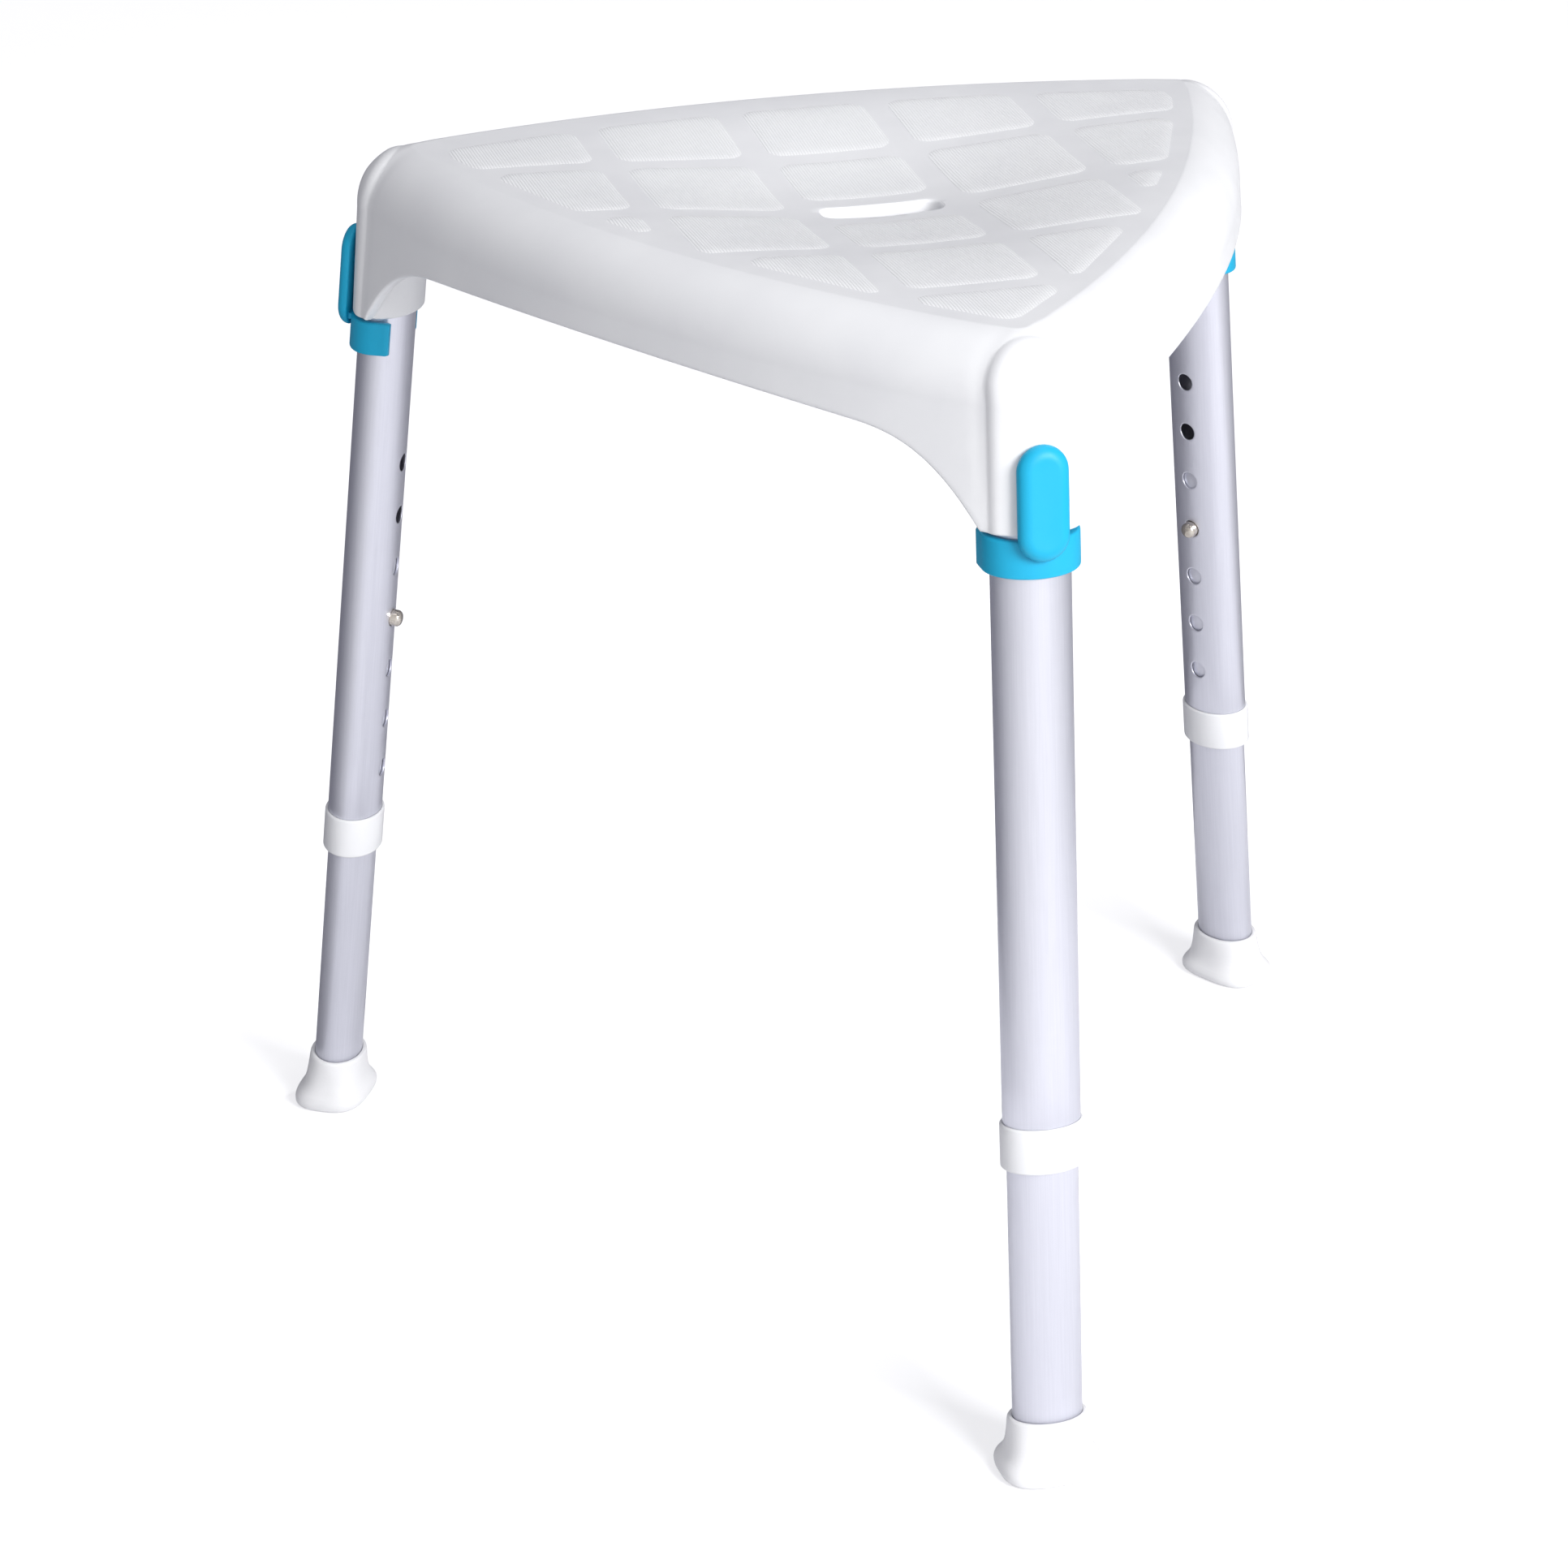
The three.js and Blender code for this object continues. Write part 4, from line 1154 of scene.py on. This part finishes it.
def plated(name, look):
    """Polished or rolled metal with faint smears and hairlines."""
    dark, light, roughness = look
    material, tree, shader = new_material(name)
    place = place_node(tree)
    smear = noise(tree, place, SMEAR_SCALE, 4.0)
    gloss = spread(tree, smear, roughness * 0.7, roughness * 1.4)
    tone = mixed(tree, spread(tree, smear, 0, 1), dark, light)
    relief = bumped(tree, noise(tree, place, HAIRLINE_SCALE, 4.0), HAIRLINE_DEPTH)
    fill(tree, shader, {"Base Color": tone, "Roughness": gloss, "Normal": relief, "Metallic": 1.0})
    return material


# ---- Assembly ----

def seat_piece():
    materials = [moulded("seat plastic", SEAT_LOOK), knurled("seat pads", PAD_LOOK)]
    shape = seat_shell()
    for loop in pad_outlines():
        shape.add(*pad(loop), finish=1)
    for points, faces in seat_ribs():
        shape.add(points, faces)
    level = Matrix.Translation((0, CENTRE_SHIFT, 0))
    points, faces = socket_column()
    for index in range(len(LEG_NAMES)):
        shape.add(placed(points, level.inverted() @ leg_matrix(index)), faces)
    piece = make_piece("seat_shell", shape, level, materials, "seat")
    for index in range(len(LEG_NAMES)):
        cut_hole(piece, index)
    smoothed(piece, SHARP_FINE)


def leg_looks(index, name):
    """New materials for a leg, by the kind of piece that they are for."""
    metal = plated(f"{name} steel", STEEL_LOOK)
    return {
        "upper_tube": anodised(f"{name} upper aluminium", UPPER_LOOK, index, UPPER_METALLIC),
        "lower_tube": anodised(f"{name} lower aluminium", LOWER_LOOK, index, LOWER_METALLIC),
        "collar": moulded(f"{name} collar plastic", COLLAR_LOOK),
        "foot": moulded(f"{name} foot rubber", FOOT_LOOK, *RUBBER_GRAIN),
        "locking_clip": moulded(f"{name} clip plastic", CLIP_LOOK, sheen=CLIP_SHEEN),
        "snap_button": plated(f"{name} nickel", NICKEL_LOOK),
        "button_spring": metal,
        "foot_washer": metal,
        "guide_plug": moulded(f"{name} inner plastic", INNER_LOOK)}


def leg_pieces(index, name):
    """A leg's seven visual pieces, and new materials for its two hidden CAD nodes."""
    looks = leg_looks(index, name)
    matrix = leg_matrix(index)
    level = matrix @ Matrix.Rotation(SPLAY, 4, "X")
    leg, button, clip = f"{name}_leg", f"{name}_button", f"{name}_clip"
    upper_holes = [(1, h) for h in HOLE_HEIGHTS] + [(-1, PEG_HEIGHT)]
    upper = tube(UPPER_HALF, UPPER_WALL, UPPER_SPAN, upper_holes)
    lower = tube(LOWER_HALF, LOWER_WALL, LOWER_SPAN, [(1, BUTTON_HEIGHT)])
    parts = (
        ("upper_tube", upper, matrix, "seat", "tube_aluminium", SHARP_TUBE),
        ("lower_tube", lower, matrix, leg, "tube_aluminium", SHARP_TUBE),
        ("collar", collar(), matrix, "seat", "collar_plastic", SHARP_TUBE),
        ("foot", foot(), level, leg, "foot_rubber", SHARP_TUBE),
        ("locking_clip", locking_clip(), matrix, clip, "clip_plastic", SHARP_CLIP),
        ("snap_button", snap_button(), matrix, button, "button_nickel", SHARP_FINE),
        ("button_spring", button_spring(), matrix, None, "spring_steel", SHARP_FINE))
    made = {}
    for kind, shape, place, body, slot, angle in parts:
        made[kind] = make_piece(f"{name}_{kind}", shape, place, [looks[kind]], body)
        smoothed(made[kind], angle)
    spring = made["button_spring"]
    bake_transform(spring)
    for kind in ("guide_plug", "foot_washer"):
        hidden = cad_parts[f"{name}_{kind}"]
        hidden.data.materials.clear()
        hidden.data.materials.append(looks[kind])


# ---- Studio ----

def stage_piece(name, points, faces):
    piece = mesh_object(name, points, faces)
    return piece


def circle(radius, height):
    """Level ring of points, in metres."""
    turns = [2 * pi * k / STAGE_STEPS for k in range(STAGE_STEPS)]
    return [(radius * cos(t), radius * sin(t), height) for t in turns]


def studio_floor():
    """Pale floor, clear from below, that stays under the feet when the legs slide."""
    size = FLOOR_HALF
    corners = [(-size, -size, 0), (size, -size, 0), (size, size, 0), (-size, size, 0)]
    floor = stage_piece("floor", corners, [(0, 1, 2, 3)])
    material, tree, shader = new_material("studio floor")
    tone = mixed(tree, noise(tree, place_node(tree), 3.0, 2.0), *FLOOR_TONES)
    fill(tree, shader, {"Base Color": tone, "Roughness": PAPER_ROUGHNESS, "Emission Color": WHITE,
                        "Emission Strength": FLOOR_GLOW})
    behind = new_node(tree, "NewGeometry", {}).outputs["Backfacing"]
    clear = new_node(tree, "BsdfTransparent", {}).outputs["BSDF"]
    surface = new_node(tree, "MixShader", {"Fac": behind, 1: shader.outputs["BSDF"], 2: clear})
    fill(tree, tree.nodes["Material Output"], {"Surface": surface.outputs["Shader"]})
    floor.data.materials.append(material)
    floor.visible_diffuse = False
    floor.visible_glossy = False
    return floor


def bounce_card():
    """Round white card on the floor, the only part of it that the stool sees."""
    card = stage_piece("bounce card", circle(CARD_RADIUS, 0), [tuple(range(STAGE_STEPS))])
    material, tree, shader = new_material("bounce card")
    fill(tree, shader, {"Base Color": (*CARD_COLOUR, 1), "Roughness": PAPER_ROUGHNESS})
    card.data.materials.append(material)
    card.visible_camera = False
    card.visible_shadow = False
    card.location = (*CARD_PLACE, MM)
    return card


def backdrop():
    """Pale round wall that only the camera sees, so that level views end on a plain background."""
    points = circle(WALL_DISTANCE, 0) + circle(WALL_DISTANCE, WALL_HEIGHT)
    wall = stage_piece("backdrop", points, ring_faces(2, STAGE_STEPS))
    material, tree, shader = new_material("backdrop")
    tone = mixed(tree, noise(tree, place_node(tree), 0.4, 1.0), *WALL_TONES)
    fill(tree, shader, {"Base Color": tone, "Roughness": 1.0, "Specular IOR Level": 0.0,
                        "Emission Color": WHITE, "Emission Strength": WALL_GLOW})
    wall.data.materials.append(material)
    wall.visible_diffuse = False
    wall.visible_glossy = False
    wall.visible_shadow = False


def room():
    """Dim room that is brightest towards the front, where the lights stand."""
    world = bpy.data.worlds.new("studio")
    world.use_nodes = True
    tree = world.node_tree
    towards = (cos(ROOM_FRONT), sin(ROOM_FRONT), 0)
    view = new_node(tree, "TexCoord", {}).outputs["Generated"]
    facing = new_node(tree, "VectorMath", {0: view, 1: towards}, operation="DOT_PRODUCT").outputs["Value"]
    curve = math_node(tree, "POWER", math_node(tree, "MULTIPLY_ADD", facing, 0.5, 0.5), ROOM_POWER)
    fill(tree, tree.nodes["Background"], {"Color": mixed(tree, curve, ROOM_DARK, ROOM_LIGHT)})
    bpy.context.scene.world = world


def softbox(name, azimuth, elevation, distance, target, size, strength):
    """Square area light. A white surface that faces it squarely is lit to `strength`."""
    light = bpy.data.lights.new(name, "AREA")
    light.shape = "SQUARE"
    light.size = size
    light.energy = strength * (pi * distance) ** 2
    lamp = in_scene(name, light)
    flat = cos(elevation)
    away = Vector((cos(azimuth) * flat, sin(azimuth) * flat, sin(elevation)))
    lamp.location = Vector(target) + away * distance
    lamp.rotation_euler = (-away).to_track_quat("-Z", "Y").to_euler()


def studio():
    for piece in (studio_floor(), bounce_card()):
        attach(piece, "front_leg")
    backdrop()
    room()
    softbox("key", KEY_AZIMUTH, KEY_ELEVATION, KEY_DISTANCE, KEY_TARGET, KEY_SIZE, KEY_STRENGTH)
    softbox("top", 0.0, TOP_ELEVATION, TOP_DISTANCE, TOP_TARGET, TOP_SIZE, TOP_STRENGTH)
    bpy.context.scene.view_settings.view_transform = "Standard"


def camera():
    data = bpy.data.cameras.new("camera")
    data.lens = LENS
    data.sensor_width = SENSOR_WIDTH
    data.clip_start, data.clip_end = VIEW_RANGE
    yaw, pitch, roll = CAMERA_YAW, CAMERA_PITCH, CAMERA_ROLL
    ahead = Vector((sin(yaw) * cos(pitch), cos(yaw) * cos(pitch), -sin(pitch)))
    level = Vector((cos(yaw), -sin(yaw), 0))
    upright = level.cross(ahead)
    right = cos(roll) * level + sin(roll) * upright
    up = -sin(roll) * level + cos(roll) * upright
    turn = Matrix((right, up, -ahead)).transposed()
    view = in_scene("camera", data)
    view.matrix_world = Matrix.Translation(CAMERA_PLACE) @ turn.to_4x4()
    bpy.context.scene.camera = view


seat_piece()
for number, leg_name in enumerate(LEG_NAMES):
    leg_pieces(number, leg_name)
studio()
camera()
